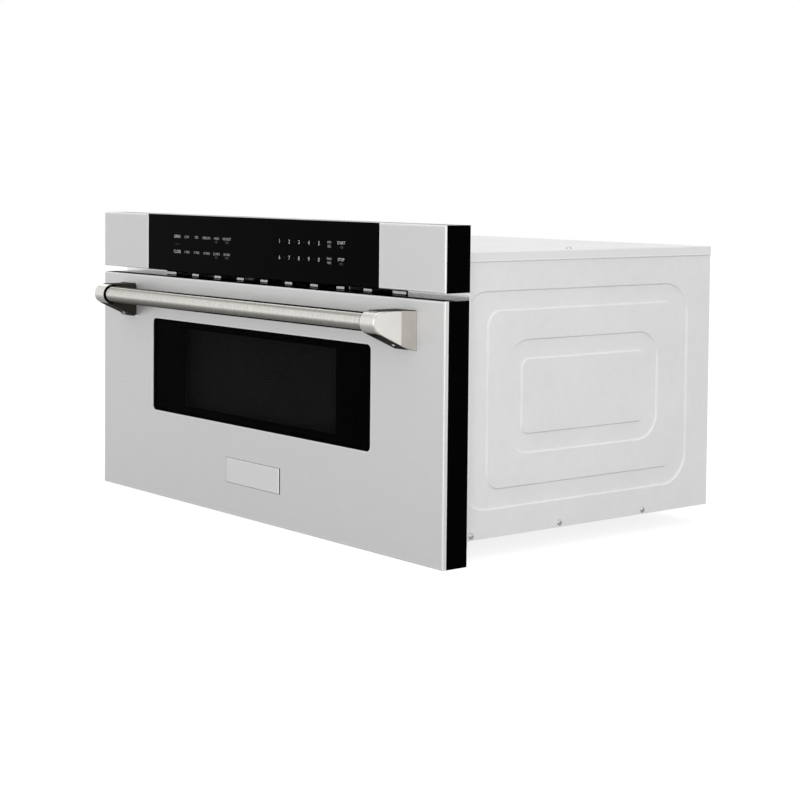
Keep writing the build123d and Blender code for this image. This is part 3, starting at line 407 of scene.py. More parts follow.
# ---- magnetron -----------------------------------------------------------------------
# The yoke and filter box are plated steel, and the pressed fins round the anode are
# aluminium, straw-coloured from heat near the middle.
warm_plate = finish(
    "heat tinted plate", (0.4, 0.35, 0.28), (0.66, 0.65, 0.62), 0.36,
    [("noise", 0.05, 0.8, 0.08, 0), ("noise", (0.001, 0.012, 0.001), 0.2, 0.05, 0.000006)],
    metallic=0.9,
)
dress(warm_plate, "magnetron")


# ---- cavity lamp ---------------------------------------------------------------------
# A drawn steel shade spot-welded to its plate, which lies over a hole in the cavity's
# roof, with the bulb hanging inside it.
drawn_steel = finish(
    "drawn steel can", (0.34, 0.34, 0.35), (0.5, 0.5, 0.51), 0.3,
    [("noise", (0.0008, 0.0008, 0.03), 0.7, 0.1, 0.000005), ("noise", 0.04, 0.3, 0.05, 0)],
    metallic=1.0,
)
dress(drawn_steel, "cavity_lamp")


# ---- cooling fan and duct ------------------------------------------------------------
# A black moulded ring and bridge carry the motor, with a white nylon blade pressed on
# its shaft, and a galvanised duct takes the air on to the front vents.
nylon = finish(
    "white nylon", (0.62, 0.62, 0.59), (0.74, 0.74, 0.71), 0.45,
    [("noise", 0.02, 0.6, 0.06, 0), ("noise", 0.0008, 0.4, 0.04, 0.00001)],
    specular=0.4, Subsurface_Weight=0.1, Subsurface_Scale=0.002,
)
dress(black_moulding, "fan_housing")
dress(drawn_steel, "fan_motor")
dress(nylon, "fan_blade")
dress(galvanised, "air_duct")


# ---- transformer and capacitor -------------------------------------------------------
# A varnished stack of thin steel laminations round two coils of enamelled wire, and the
# high-voltage capacitor in its crimped steel can.
laminations = finish(
    "varnished laminations", (0.07, 0.05, 0.04), (0.2, 0.16, 0.13), 0.4,
    [("ridges", (math.inf, 0.001, math.inf), 0.6, 0.1, 0.0001), ("noise", 0.01, 0.4, 0.1, 0)],
    metallic=0.3,
)
dress(laminations, "transformer")
dress(drawn_steel, "capacitor")


# ---- mains filter and gland ----------------------------------------------------------
# The filter is a green glass-fibre board on four stand-offs with its round choke, and the
# black nylon gland beside it is for a supply cord through the rear panel.
laminate = finish(
    "green board laminate", (0.008, 0.1, 0.035), (0.02, 0.2, 0.08), 0.35,
    [
        ("noise", 0.004, 0.5, 0.08, 0),
        ("ridges", (0.0012, math.inf, math.inf), 0.2, 0, 0.00001),
        ("ridges", (math.inf, math.inf, 0.0012), 0.2, 0, 0.00001),
    ],
)
dress(laminate, "filter_board")
dress(black_moulding, "cable_gland")


# ---- door interlock ------------------------------------------------------------------
# Two snap-action switches a side on a black moulded bracket, which the nylon latch
# tongues push when the drawer shuts.
dress(black_moulding, "interlock_switches")
dress(nylon, "latch_tongues")


# ---- telescopic slides ---------------------------------------------------------------
# Three roll-formed members a side, bright zinc over steel, running on steel balls held in
# strips and carried by a folded galvanised upright. Flat screws hold the inner member to
# the tub, and low rivets stand along the middle one.
slide_zinc = finish(
    "bright zinc slide", (0.42, 0.43, 0.45), (0.6, 0.61, 0.62), 0.3,
    [
        ("noise", (0.0006, 0.12, 0.0006), 0.6, 0.1, 0.000004),
        ("noise", (0.03, 0.06, 0.03), 0.4, 0.05, 0),
    ],
    metallic=1.0,
)
ball_steel = finish(
    "polished ball steel", 0.55, 0.72, 0.14, [("noise", 0.002, 0.6, 0.05, 0)], metallic=1.0,
)
dress(ball_steel, "outer_ball_cages", "inner_ball_cages")
flat_head = {
    "Head_Radius": 0.0034, "Head_Height": 0.0009, "Dome": 0.8,
    "Drive_Outer": 0.0015, "Drive_Inner": 0.0006, "Drive_Depth": 0.0005,
}
inner_face, middle_face, slide_height = 0.2652, 0.2682, 0.108
along_inner, along_middle = (0.025, 0.075, 0.165, 0.255, 0.345), (0.02, 0.11, 0.2, 0.29, 0.38)
for side, word in sides:
    dress(slide_zinc, f"slide_outer_{word}", f"slide_middle_{word}", f"slide_inner_{word}")
    dress(galvanised, f"slide_upright_{word}")
    outward = [(side, 0, 0)] * 5
    spots = [(side * inner_face, y, slide_height) for y in along_inner]
    heads = grown(f"slide_screws_{word}", screw, "drawer", spots, outward, **flat_head)
    spots = [(side * middle_face, y, slide_height) for y in along_middle]
    body = f"slide_middle_{word}"
    heads = grown(f"slide_rivets_{word}", screw, body, spots, outward, **flat_head)


# ---- rack drive ----------------------------------------------------------------------
# A small motor and closed gearbox on the base turn a moulded pinion, which drives the
# nylon rack under the tub; a black guide keeps the rack in mesh.
dress(nylon, "drive_pinion", "drive_rack")
dress(black_moulding, "drive_gearbox", "rack_guide")
dress(drawn_steel, "drive_motor")


# ---- tub and tray --------------------------------------------------------------------
# The drawer's own box is enamelled sheet like the cavity, with its upper edge rolled, and
# a loose tray of pale speckled glass-ceramic lies on its floor.
ceramic = finish(
    "speckled glass ceramic", (0.3, 0.3, 0.29), (0.6, 0.6, 0.58), 0.14,
    [("specks", 0.003, -0.6, 0.03, 0), ("noise", 0.05, 0.3, 0.03, 0)],
)
dress(enamel, "tub_side_left", "tub_side_right", "tub_floor", "tub_back")
dress(ceramic, "ceramic_tray")


def rounded(tree, curve, radius):
    """A curve with its corners rounded."""
    feeds = {"Curve": curve, "Radius": radius, "Count": 5}
    return result(tree, "GeometryNodeFilletCurve", feeds, mode="POLY")


hem, sizes = recipe("hem", Roll_Radius=0.0017, Corner=0.006)
edge_line = result(hem, "GeometryNodeMeshToCurve", {0: sizes["Geometry"]})
roll = circle(hem, 14, sizes["Roll Radius"])
serve(hem, swept(hem, rounded(hem, edge_line, sizes["Corner"]), roll), enamel)
hem_x, hem_front, hem_back, hem_height = 0.2186, -0.001, 0.3986, 0.2318
tub_edge = bpy.data.meshes.new("tub_hem")
tub_edge.from_pydata([
    (-hem_x, hem_front, hem_height), (-hem_x, hem_back, hem_height),
    (hem_x, hem_back, hem_height), (hem_x, hem_front, hem_height),
], [(0, 1), (1, 2), (2, 3)], [])
grown("tub_hem", hem, "drawer", start=tub_edge)


# ---- inner door ----------------------------------------------------------------------
# An enamelled panel frames the clear inner glass, on a black moulded frame that shows as
# the dark band behind the edge of the skin, with a dull seal strip along its top.
clear_glass = finish(
    "clear inner glass", (0.6, 0.64, 0.63), (0.7, 0.74, 0.73), 0.04,
    [("noise", 0.05, 0.5, 0.01, 0)], specular=0.4, Alpha=0.22,
)
dress(enamel, "inner_panel")
dress(clear_glass, "inner_glass")
gloss_moulding = finish(
    "glossy black moulding", 0.0002, 0.0005, 0.12,
    [("noise", 0.05, 0.5, 0.03, 0), ("noise", 0.002, 0.5, 0.02, 0.000003)],
    specular=0.01,
)
dress(gloss_moulding, "door_frame")
seal_outline = (
    (-0.0378, 0.2867), (-0.0378, 0.2871), (-0.0374, 0.28725),
    (-0.021, 0.28725), (-0.0206, 0.2871), (-0.0206, 0.2867),
)
rings = [[(x, y, z) for y, z in seal_outline] for x in (-0.376, 0.376)]
seal = stand("door_top_seal", built("door_top_seal", rings), black_moulding, "drawer")


# ---- perforated screen ---------------------------------------------------------------
# A black enamelled sheet with a honeycomb of 3 mm holes across the clear part of the
# window, which lets light through and keeps the waves in.
def framing(name, x, z, hole_x, hole_z, y):
    """A flat plate parallel to the front with a rectangular hole."""
    loops = ((x, z, y[0]), (hole_x, hole_z, y[0]), (hole_x, hole_z, y[1]), (x, z, y[1]))
    return built(name, [
        [(wide[0], depth, tall[0]), (wide[1], depth, tall[0]),
         (wide[1], depth, tall[1]), (wide[0], depth, tall[1])]
        for wide, tall, depth in loops
    ], hollow=True)


screen_enamel = finish(
    "black screen enamel", (0.034, 0.034, 0.035), (0.055, 0.055, 0.056), 0.4,
    [("noise", 0.04, 0.6, 0.05, 0), ("noise", 0.001, 0.4, 0.05, 0.00001)],
    specular=0.2,
)
honeycomb, sizes = recipe(
    "honeycomb", Pitch=0.004, Web=0.001, Thickness=0.001, Columns=90, Rows=34,
    Middle_Height=0.1625, Front=-0.023,
)
pitch, web, rows = sizes["Pitch"], sizes["Web"], sizes["Rows"]
row_pitch = worked(honeycomb, "MULTIPLY", pitch, math.sqrt(3) / 2)
steps_across = worked(honeycomb, "SUBTRACT", sizes["Columns"], 1.0)
steps_up = worked(honeycomb, "SUBTRACT", rows, 1.0)
grid = result(honeycomb, "GeometryNodeMeshGrid", {
    "Size X": worked(honeycomb, "MULTIPLY", pitch, steps_across),
    "Size Y": worked(honeycomb, "MULTIPLY", row_pitch, steps_up),
    "Vertices X": sizes["Columns"],
    "Vertices Y": rows,
})
index = result(honeycomb, "GeometryNodeInputIndex")
odd = worked(honeycomb, "MODULO", worked(honeycomb, "MODULO", index, rows), 2.0)
shift = worked(honeycomb, "MULTIPLY", worked(honeycomb, "MULTIPLY", odd, pitch), 0.5)
feeds = {"Geometry": grid, "Offset": vector(honeycomb, shift)}
staggered = result(honeycomb, "GeometryNodeSetPosition", feeds)
middle_of_web = worked(honeycomb, "SUBTRACT", pitch, worked(honeycomb, "MULTIPLY", web, 0.5))
corner_radius = worked(honeycomb, "MULTIPLY", middle_of_web, 1 / math.sqrt(3))
wall = result(honeycomb, "GeometryNodeCurvePrimitiveQuadrilateral", {
    "Width": worked(honeycomb, "MULTIPLY", web, 1 / math.sqrt(3)),
    "Height": sizes["Thickness"],
})
cells = result(honeycomb, "GeometryNodeInstanceOnPoints", {
    "Points": staggered,
    "Instance": swept(honeycomb, circle(honeycomb, 6, corner_radius), wall),
    "Rotation": Euler((0, 0, math.pi / 6)),
})
front_up = result(honeycomb, "GeometryNodeTransform", {
    "Geometry": cells,
    "Rotation": Euler((math.pi / 2, 0, 0)),
    "Translation": vector(
        honeycomb,
        worked(honeycomb, "MULTIPLY", pitch, -0.25),
        worked(honeycomb, "MULTIPLY_ADD", sizes["Thickness"], 0.5, sizes["Front"]),
        sizes["Middle Height"],
    ),
})
both = grow(honeycomb, "GeometryNodeJoinGeometry")
honeycomb.links.new(front_up, both.inputs[0])
honeycomb.links.new(sizes["Geometry"], both.inputs[0])
serve(honeycomb, both.outputs[0], screen_enamel)
surround = framing(
    "screen_border", x=(-0.2545, 0.2545), z=(0.0885, 0.2365),
    hole_x=(-0.179, 0.179), hole_z=(0.1045, 0.2205), y=(-0.023, -0.022),
)
screen = grown("door_screen_honeycomb", honeycomb, "drawer", start=surround)
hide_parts("door_screen")


# ---- window --------------------------------------------------------------------------
# Smoked 4 mm toughened glass behind the skin, with a wide black border fired on its back
# that leaves the middle clear.
smoked_glass = finish(
    "smoked glass", 0.0004, 0.0008, 0.05,
    [("noise", 0.12, 0.6, 0.02, 0)], specular=0.012, Alpha=0.4,
)
ceramic_ink = finish(
    "black fired border", 0.0002, 0.0005, 0.5, [("noise", 0.01, 0.8, 0.08, 0)], specular=0.01,
)
dress(smoked_glass, "door_glass")
border = stand("window_border", framing(
    "window_border", x=(-0.2453, 0.2453), z=(0.0977, 0.2273),
    hole_x=(-0.171, 0.171), hole_z=(0.11, 0.217), y=(-0.03395, -0.0335),
), ceramic_ink, "drawer")


# ---- door skin -----------------------------------------------------------------------
# One sheet of satin stainless, folded back round its edges, with a rounded cut-out for
# the window; the brushing runs across the front.
# Its sharp edges are painted almost white: a painted highlight along the folds.
stainless = finish(
    "satin stainless", 0.7, 0.77, 0.36,
    [
        ("noise", (0.12, 0.0006, 0.0006), 0.35, 0.04, 0.000002),
        ("noise", (0.16, 0.003, 0.003), 0.2, 0.03, 0),
        ("noise", (0.03, 0.02, 0.02), 0.25, 0.03, 0),
    ],
    metallic=0.35, edge=(0.0032, 0.97),
)
dress(stainless, "door_skin")


# ---- badge plate ---------------------------------------------------------------------
# A bare satin plate with bevelled edges below the window. A thin black sheet behind it
# shows as a dark line round it: a painted shadow.
# The plate's bevels are painted lighter: a painted highlight.
badge_metal = finish(
    "satin badge metal", 0.76, 0.82, 0.34,
    [("noise", (0.03, 0.0005, 0.0005), 0.5, 0.04, 0.000001), ("noise", 0.05, 0.3, 0.02, 0)],
    metallic=0.5, edge=(0.0035, 0.9),
)
dress(badge_metal, "badge_plate")
# A black sheet round the plate paints its shadow as a dark line.
badge_shadow_sheet = stand("badge_pad", framing(
    "badge_pad", x=(-0.0612, 0.0612), z=(0.0197, 0.0533),
    hole_x=(-0.058, 0.058), hole_z=(0.022, 0.051), y=(-0.0393, -0.03899),
), ceramic_ink, "drawer")


# ---- handle --------------------------------------------------------------------------
# A nickel-toned tube, ground round its length, held in the sockets of two cast brackets by
# a hexagon-socket set screw in the underside of each. On the castings, light and shade are
# painted: the outer faces are ground and painted paler, the flare is painted darker, and
# near-black sheets on the back, top and underside are painted shade. A black ring paints the
# shadow in each socket's mouth, and the screw ends are painted bright for a glint.
nickel = finish(
    "ground nickel tube", (0.6, 0.58, 0.545), (0.92, 0.9, 0.845), 0.14,
    [
        ("noise", (0.0011, 0.03, 0.03), 0.4, 0.04, 0.000008),
        ("noise", (0.0016, 0.004, 0.004), 0.35, 0.05, 0.000004),
        ("noise", (0.02, 0.004, 0.004), 0.1, 0.02, 0),
    ],
    metallic=1.0, Specular_Tint=(0.1, 0.1, 0.1, 1),
)
cast_nickel = finish(
    "brushed nickel casting", (0.78, 0.76, 0.72), (0.9, 0.88, 0.84), 0.27,
    [
        ("noise", (0.0006, 0.012, 0.012), 0.2, 0.02, 0.0000005),
        ("noise", 0.012, 0.2, 0.02, 0),
    ],
    metallic=0.6,
)
# A paler, matter copy of the casting for the flat outer faces: ground, and painted lighter as a
# painted highlight for the light they catch.
painted_lit_face = finish(
    "casting face painted light", (0.88, 0.86, 0.815), (0.96, 0.94, 0.895), 0.5,
    [
        ("noise", (0.0008, 0.03, 0.0008), 0.4, 0.05, 0.000002),
        ("noise", 0.012, 0.4, 0.04, 0),
    ],
    metallic=0.15, specular=0.3,
)
# A darker copy of the casting for the flare: painted shade where it faces away from the light.
shaded_nickel = finish(
    "nickel painted darker for shade", (0.38, 0.355, 0.325), (0.46, 0.435, 0.4), 0.4,
    [
        ("noise", (0.0008, 0.012, 0.012), 0.3, 0.04, 0.000001),
        ("noise", 0.012, 0.5, 0.04, 0),
    ],
    metallic=0.6,
)
# Near-black casting for the brackets' backs and tops: painted shade and a painted dark reflection,
# not the casting's own colour.
painted_shade_casting = finish(
    "casting painted dark for shade", (0.012, 0.01, 0.008), (0.04, 0.034, 0.027), 0.5,
    [
        ("ridges", (math.inf, 0.0024, math.inf), 0.3, 0.05, 0.0001),
        ("noise", 0.002, 0.6, 0.1, 0.00003),
    ],
    specular=0.2,
)
# The brackets' undersides are painted black: painted shade.
shadowed = finish(
    "casting painted black for shade", (0.002, 0.0017, 0.0013), (0.012, 0.01, 0.008), 0.5,
    [
        ("ridges", (0.0016, math.inf, math.inf), 0.5, 0.05, 0.00005),
        ("noise", 0.002, 0.4, 0.1, 0.00002),
    ],
    specular=0.06,
)
# The set screw ends are painted near white: a painted glint.
glint_steel = finish(
    "set screw painted bright for a glint", 0.8, 1.0, 0.25, [("noise", 0.0008, 0.6, 0.06, 0.000004)], metallic=0.25,
)
dress(nickel, "handle_tube")
dress(cast_nickel, "handle_bracket_left", "handle_bracket_right")

axis = Vector((0, -0.0798, 0.2596))
skin_y, foot_height = -0.039, 0.2265
flat_height, nose_radius, to_skin, to_flare = 0.0135, 0.013, 0.0408, 0.0291
inner_cheek, outer_cheek, middle_of_bracket = 0.291, 0.3165, 0.30375
over_edge, bevelled_edge = 0.0002, 0.0016
sole_half_width, sole_to_foot, sole_to_nose = 0.0123, 0.0135, 0.0355
under = math.radians(24.165)


def underside_height(y):
    """The height of the bracket's sloping underside."""
    return foot_height - (y - skin_y) * math.tan(under)


def bracket_reach(angle):
    """From the tube's axis to the bracket's outline seen from the side; 0 points to the door."""
    if math.pi / 2 < angle < 1.5 * math.pi - under:
        return nose_radius
    y, z = math.cos(angle), math.sin(angle)
    into_underside = -y * math.sin(under) - z * math.cos(under)
    flats = ((z, flat_height), (y, to_skin), (into_underside, flat_height))
    return min(distance / share for share, distance in flats if share > 0) + over_edge


def face_reach(angle):
    """The same for the flat of the bracket's outer face, which ends at the flare."""
    limit = to_flare / math.cos(angle) if math.cos(angle) > 0 else 1
    return min(bracket_reach(angle) - bevelled_edge, limit)


def underside_reach(angle):
    """From the set screw to the edges of the bracket's underside; 0 points across it."""
    across, along = math.cos(angle), math.sin(angle)
    lengthwise = sole_to_foot / along if along > 0 else -sole_to_nose / along
    return min(sole_half_width / abs(across), lengthwise)


def round_hole(name, radius, reach, place, thickness):
    """A sheet round a hole: an outline at a distance for each angle, set by a matrix."""
    corners = 120
    angles = [math.tau * (i + 0.5) / corners for i in range(corners)]

    def hole(angle):
        return radius

    def loop(depth, far):
        flat = [(far(angle) * math.cos(angle), far(angle) * math.sin(angle)) for angle in angles]
        return [place @ Vector((x, y, depth)) for x, y in flat]

    mesh = built(name, [
        loop(0, hole), loop(0, reach), loop(thickness, reach), loop(thickness, hole),
    ], hollow=True)
    soften(mesh)
    return mesh


def cheek_plane(x, outward):
    """Stands a flat sheet on edge at x, round the tube's axis."""
    return Matrix(((0, 0, outward, x), (1, 0, 0, axis.y), (0, 1, 0, axis.z), (0, 0, 0, 1)))


flare_plan = ((0.3163, -0.0507), (0.3307, -0.03955), (0.3307, -0.0391), (0.3163, -0.0391))
top_plan = (
    (0.2914, -0.0792), (0.3146, -0.0792), (0.3158, -0.0502),
    (0.3285, -0.0405), (0.3285, -0.0392), (0.2914, -0.0392),
)
top_low, top_high = 0.2731, 0.2739
screw_y, screw_sunk = -0.0518, 0.005
hexagon = 0.0011
outward = Vector((0, -math.sin(under), -math.cos(under)))
along = Vector((0, math.cos(under), -math.sin(under)))
sole_turn = Matrix((Vector((1, 0, 0)), along, outward)).transposed().to_4x4()
seats = []
for side, word in sides:
    inner = cheek_plane(side * inner_cheek, -side)
    back = round_hole(
        f"bracket_back_{word}", radius=0.0124, reach=bracket_reach, place=inner, thickness=0.00025,
    )
    stand(f"bracket_back_{word}", back, painted_shade_casting, "drawer")
    # A black ring round the tube at each inner cheek paints the shadow in the socket's mouth.
    ring = round_hole(
        f"tube_ring_{word}", radius=0.0116, reach=lambda angle: 0.0134, place=inner,
        thickness=0.0008,
    )
    stand(f"tube_ring_{word}", ring, black_moulding, "drawer")
    flare = built(f"bracket_flare_{word}", [
        [(side * x, y, underside_height(y)) for x, y in flare_plan],
        [(side * x, y, top_low) for x, y in flare_plan],
    ])
    stand(f"bracket_flare_{word}", flare, shaded_nickel, "drawer")
    outer = cheek_plane(side * outer_cheek, side)
    face = round_hole(
        f"bracket_face_{word}", radius=0.00005, reach=face_reach, place=outer, thickness=0.00012,
    )
    stand(f"bracket_face_{word}", face, painted_lit_face, "drawer")
    rings = [[(side * x, y, height) for x, y in top_plan] for height in (top_low, top_high)]
    top = built(f"bracket_top_{word}", rings)
    stand(f"bracket_top_{word}", top, painted_shade_casting, "drawer")
    seat = Vector((side * middle_of_bracket, screw_y, underside_height(screw_y)))
    lower = Matrix.Translation(seat) @ sole_turn
    sole = round_hole(
        f"bracket_sole_{word}", radius=0.0028, reach=underside_reach, place=lower,
        thickness=0.0002,
    )
    stand(f"bracket_sole_{word}", sole, shadowed, "drawer")
    seats.append(tuple(seat - outward * screw_sunk))
set_screws = grown(
    "handle_set_screw_ends", screw, "drawer", seats, [tuple(outward)] * 2,
    Head_Radius=0.0025, Head_Height=0.0059, Dome=0.75, Drive_Points=6, Drive_Outer=hexagon,
    Drive_Inner=hexagon * math.cos(math.pi / 6), Drive_Depth=0.002,
)
set_screws.data.materials[0] = glint_steel
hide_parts("handle_set_screws")


# ---- control housing and board -------------------------------------------------------
# A shallow black moulding behind the touch panel holds the green board with its display,
# processor and relay.
dress(gloss_moulding, "control_housing")
dress(laminate, "control_board")


# ---- end caps ------------------------------------------------------------------------
# The control panel ends in a cap on each side, cut from the same satin stainless as the
# door skin, with its edges folded back.
# The caps carry the same painted edge highlight.
dress(stainless, "end_cap_left", "end_cap_right")


# ---- vent trim -----------------------------------------------------------------------
# In the gap above the door a thin black grille lies on the flange round its nine vent
# slots, held by a bright pressed clip on each post and a longer one at both ends.
dull_sheet = finish(
    "dull pressed clip", 0.56, 0.66, 0.24,
    [("noise", 0.004, 0.6, 0.05, 0), ("noise", (0.012, 0.0006, 0.0006), 0.4, 0.05, 0.000003)],
    metallic=0.9,
)
vent_pitch = 0.0552
louvre, sizes = recipe(
    "grille", Slots=9, Pitch=vent_pitch, Slot_Width=0.0436, Slot_Height=0.0038,
    Slot_Rise=0.0001, Width=0.5366, Height=0.0122, Thickness=0.0004,
)


def block(tree, width, depth, height):
    """A box round the origin."""
    return result(tree, "GeometryNodeMeshCube", {"Size": vector(tree, width, depth, height)})


plate = block(louvre, sizes["Width"], sizes["Thickness"], sizes["Height"])
cutter = block(louvre, sizes["Slot Width"], 0.01, sizes["Slot Height"])
steps = worked(louvre, "SUBTRACT", sizes["Slots"], 1.0)
row_length = worked(louvre, "MULTIPLY", steps, sizes["Pitch"])
first_x = worked(louvre, "MULTIPLY", row_length, -0.5)
row = result(louvre, "GeometryNodeMeshLine", {
    "Count": sizes["Slots"],
    "Start Location": vector(louvre, first_x, 0.0, sizes["Slot Rise"]),
    "Offset": vector(louvre, sizes["Pitch"]),
})
slots = result(louvre, "GeometryNodeInstanceOnPoints", {"Points": row, "Instance": cutter})
slots = result(louvre, "GeometryNodeRealizeInstances", {"Geometry": slots})
feeds = {"Points": sizes["Geometry"], "Instance": carved(louvre, plate, slots)}
serve(louvre, result(louvre, "GeometryNodeInstanceOnPoints", feeds), black_moulding)
grille_y, grille_z = -0.00147, 0.2897
grille = grown("vent_grille", louvre, "chassis", [(0, grille_y, grille_z)])

clip, sizes = recipe("clip", Width=0.0165, Height=0.003, Thickness=0.0009, Lean=0.055)
feeds = {"Width": sizes["Width"], "Height": sizes["Height"]}
outline = result(clip, "GeometryNodeCurvePrimitiveQuadrilateral", feeds)
outline = rounded(clip, outline, worked(clip, "MULTIPLY", sizes["Height"], 0.4))
leaning = result(clip, "GeometryNodeTransform", {
    "Geometry": prism(clip, outline, 0.0001, sizes["Thickness"]),
    "Rotation": vector(clip, worked(clip, "MULTIPLY", sizes["Lean"], -1.0)),
})
serve(clip, seated(clip, sizes["Geometry"], leaning), dull_sheet)
clip_y, clip_z, end_clip_x, end_clip_z = -0.00172, 0.2891, 0.2547, 0.2893
seats = [(vent_pitch * (i - 3.5), clip_y, clip_z) for i in range(8)]
grown("vent_clips", clip, "chassis", seats, [(0, -1, 0)] * 8)
seats = [(side * end_clip_x, clip_y, end_clip_z) for side in (-1, 1)]
longer = {"Width": 0.0248, "Height": 0.0034}
end_clips = grown("vent_end_clips", clip, "chassis", seats, [(0, -1, 0)] * 2, **longer)


# ---- control glass and key marks -----------------------------------------------------
# Black-backed glass with the key marks printed in pale grey: the digits, plain words
# beside them, and the larger words for the drawer and for starting and stopping.
black_glass = finish(
    "black backed glass", 0.0004, 0.0009, 0.06,
    [("noise", 0.15, 0.8, 0.02, 0)], specular=0.015,
)
dress(black_glass, "control_glass")


def printed(name, level):
    """Screen-printed ink at one brightness."""
    return finish(name, level * 0.8, level, 0.6, [("noise", 0.002, 0.8, 0.05, 0)], specular=0.1)


inks = {
    "bright": printed("bright key ink", 0.8),
    "plain": printed("key ink", 0.55),
    "dim": printed("dim key ink", 0.14),
}
marks = {ink: [] for ink in inks}
left_rows, right_rows = (0.344, 0.3232), (0.3453, 0.3248)
drawer_x, word_x, word_pitch = -0.1836, -0.1595, 0.0243
digit_x, digit_pitch, unit_x, start_x = 0.0575, 0.0208, 0.162, 0.1858
large, key, small, tiny, digit = 0.0044, 0.0039, 0.0036, 0.0032, 0.0052
marks["dim"].append(("-----", drawer_x, 0.3342, large))
levels = ("LOW", "MID", "MEDIUM", "HIGH", "HIGHEST")
minutes = ("1 MIN", "5 MIN", "10 MIN", "20 MIN", "30 MIN")
for row, text, words in zip(left_rows, ("OPEN", "CLOSE"), (levels, minutes)):
    marks["bright"].append((text, drawer_x, row, large))
    for i, text in enumerate(words):
        marks["plain"].append((text, word_x + word_pitch * i, row, small))
        if i:
            marks["dim"].append(("·", word_x - 0.0121 + word_pitch * i, row, large))
    for i, text in ((3, "SET"), (4, "TIME")):
        marks["dim"].append((text, word_x + word_pitch * i, row - 0.0047, 0.003))
for row, digits in zip(right_rows, ("12345", "67890")):
    for i, text in enumerate(digits):
        marks["bright"].append((text, digit_x + digit_pitch * i, row, digit))
        if i:
            marks["dim"].append(("·", digit_x - 0.0104 + digit_pitch * i, row, digit))
for row, (upper, lower) in zip(right_rows, (("MIN", "SEC"), ("MAX", "MIN"))):
    marks["plain"].append((upper, unit_x, row + 0.0022, tiny))
    marks["plain"].append((lower, unit_x, row - 0.0028, tiny))
for row, upper, lower in zip(right_rows, ("START", "STOP"), ("+30", "OFF")):
    marks["bright"].append((upper, start_x, row + 0.002, key))
    marks["dim"].append((lower, start_x + 0.0004, row - 0.0034, tiny))
in_front_of_glass, height_of_capital = -0.03904, 0.72
for ink, entries in marks.items():
    printing = bmesh.new()
    for text, x, z, height in entries:
        letters = bpy.data.curves.new("mark", "FONT")
        letters.body = text
        letters.align_x, letters.align_y = "CENTER", "CENTER"
        letters.size = height / height_of_capital
        letters.resolution_u = 3
        holder = bpy.data.objects.new("mark", letters)
        bpy.context.scene.collection.objects.link(holder)
        evaluated = holder.evaluated_get(bpy.context.evaluated_depsgraph_get())
        flat = bpy.data.meshes.new_from_object(evaluated)
        place = Matrix.Translation((x, in_front_of_glass, z))
        flat.transform(place @ Matrix.Rotation(math.pi / 2, 4, "X"))
        printing.from_mesh(flat)
        bpy.data.objects.remove(holder)
        bpy.data.meshes.remove(flat)
    mesh = bpy.data.meshes.new(f"key_marks_{ink}")
    printing.to_mesh(mesh)
    printing.free()
    stand(f"key_marks_{ink}", mesh, inks[ink], "chassis")


# ---- studio --------------------------------------------------------------------------
# A pale floor under the door's lower edge, soft light from the world and three large
# lamps, and the camera at the photograph's angle: 51.8 degrees round to the right.
def by_ray(tree, soft, reflected, seen):
    """One shader for the camera's rays, one for reflections and glass, one for soft light."""
    rays = grow(tree, "ShaderNodeLightPath").outputs
    mirrored = worked(tree, "MAXIMUM", rays["Is Glossy Ray"], rays["Is Transmission Ray"])
    either = result(tree, "ShaderNodeMixShader", {0: mirrored, 1: soft, 2: reflected})
    return result(tree, "ShaderNodeMixShader", {0: rays["Is Camera Ray"], 1: either, 2: seen})


def matt(tree, level):
    """A plain grey surface."""
    return result(tree, "ShaderNodeBsdfDiffuse", {"Color": (level, level, level, 1)})


floor_height, floor_reach = -0.0232, 8
floor_material = bpy.data.materials.new("pale floor")
floor_material.use_nodes = True
tree = floor_material.node_tree
tree.nodes.clear()
glow = result(tree, "ShaderNodeEmission", {"Color": (1, 1, 1, 1), "Strength": 0.84})
seen = result(tree, "ShaderNodeAddShader", {0: matt(tree, 0.3), 1: glow})
grow(tree, "ShaderNodeOutputMaterial", {"Surface": by_ray(tree, matt(tree, 0.36), seen, seen)})
corners = [
    (x * floor_reach, y * floor_reach, floor_height)
    for x, y in ((-1, -1), (1, -1), (1, 1), (-1, 1))
]
floor_mesh = bpy.data.meshes.new("floor")
floor_mesh.from_pydata(corners, [], [(0, 1, 2, 3)])
floor_mesh.materials.append(floor_material)
floor = bpy.data.objects.new("floor", floor_mesh)
floor.visible_glossy = False
bpy.context.scene.collection.objects.link(floor)

world = bpy.data.worlds.new("studio")
bpy.context.scene.world = world
world.use_nodes = True
tree = world.node_tree
tree.nodes.clear()
direction = grow(tree, "ShaderNodeTexCoord").outputs["Generated"]
towards = grow(tree, "ShaderNodeSeparateXYZ", {0: direction}).outputs
upward = worked(tree, "MULTIPLY_ADD", towards["Z"], 0.5, 0.5)
walls = grow(tree, "ShaderNodeValToRGB", {0: upward})
wall_levels = (
    (-0.64, 0.24), (-0.5, 0.26), (-0.4, 0.34), (-0.3, 0.47), (-0.2, 0.76), (-0.12, 0.95),
    (0.0, 0.97), (0.1, 0.92), (0.5, 0.88), (0.54, 0.5), (0.6, 0.5), (0.64, 0.62), (0.75, 0.9),
)
for height, level in wall_levels:
    stop = walls.color_ramp.elements.new((height + 1) / 2)
    stop.color = (level, level, level, 1)
walls.color_ramp.elements[0].color = (0.25, 0.25, 0.25, 1)
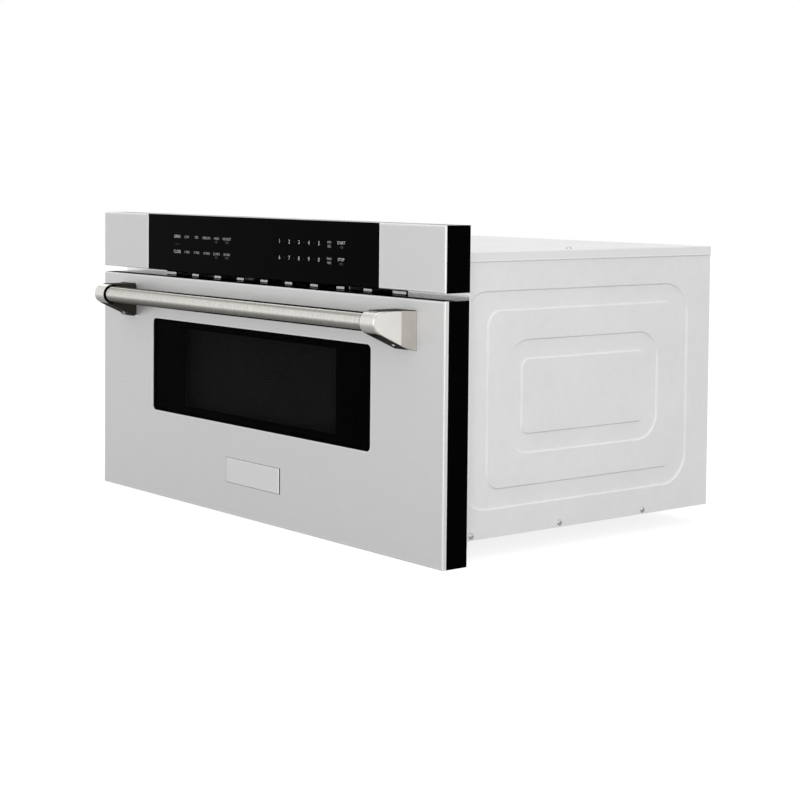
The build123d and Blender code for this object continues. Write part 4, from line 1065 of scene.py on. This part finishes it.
walls.color_ramp.elements[-1].color = (1, 1, 1, 1)


def lit(tree, colour, strength):
    """Light from all round."""
    return result(tree, "ShaderNodeBackground", {"Color": colour, "Strength": strength})


white = (1, 1, 1, 1)
right_wall = spread(tree, towards["X"], 0.84, 0.96, 1.0, 0.6)
reflected = lit(tree, walls.outputs[0], right_wall)
surface = by_ray(tree, lit(tree, white, 0.8), reflected, lit(tree, white, 1.0))
grow(tree, "ShaderNodeOutputWorld", {"Surface": surface})

middle_of_drawer = Vector((0, 0.2, 0.17))
for name, place, size, watts in (
    ("right lamp", (2.96, -2.05, 0.6), 2.2, 45.0),
    ("top lamp", (-0.4, 0.4, 2.6), 2.2, 7.0),
    ("left lamp", (-2.4, 0.75, 1.9), 1.1, 4.0),
):
    lamp = bpy.data.lights.new(name, "AREA")
    lamp.shape, lamp.size, lamp.energy = "DISK", size, watts
    holder = bpy.data.objects.new(name, lamp)
    aim = (middle_of_drawer - Vector(place)).to_track_quat("-Z", "Y")
    holder.matrix_world = Matrix.Translation(place) @ aim.to_matrix().to_4x4()
    bpy.context.scene.collection.objects.link(holder)

round_to_right, downward, tilt = (math.radians(angle) for angle in (51.8082, 2.7621, -0.4621))
ahead = Vector((
    -math.sin(round_to_right) * math.cos(downward),
    math.cos(round_to_right) * math.cos(downward),
    -math.sin(downward),
))
level = Vector((math.cos(round_to_right), math.sin(round_to_right), 0))
upright = level.cross(ahead)
right = math.cos(tilt) * level - math.sin(tilt) * upright
up = math.sin(tilt) * level + math.cos(tilt) * upright
turned = Matrix((right, up, -ahead)).transposed().to_4x4()
lens = bpy.data.cameras.new("camera")
lens.sensor_width, lens.lens = 36, 81.402
lens.shift_x, lens.shift_y = 0.06, -0.17
lens.clip_start, lens.clip_end = 0.05, 60
camera = bpy.data.objects.new("camera", lens)
camera.matrix_world = Matrix.Translation((1.931, -1.3948, 0.4285)) @ turned
bpy.context.scene.collection.objects.link(camera)
bpy.context.scene.camera = camera
bpy.context.scene.view_settings.view_transform = "Standard"
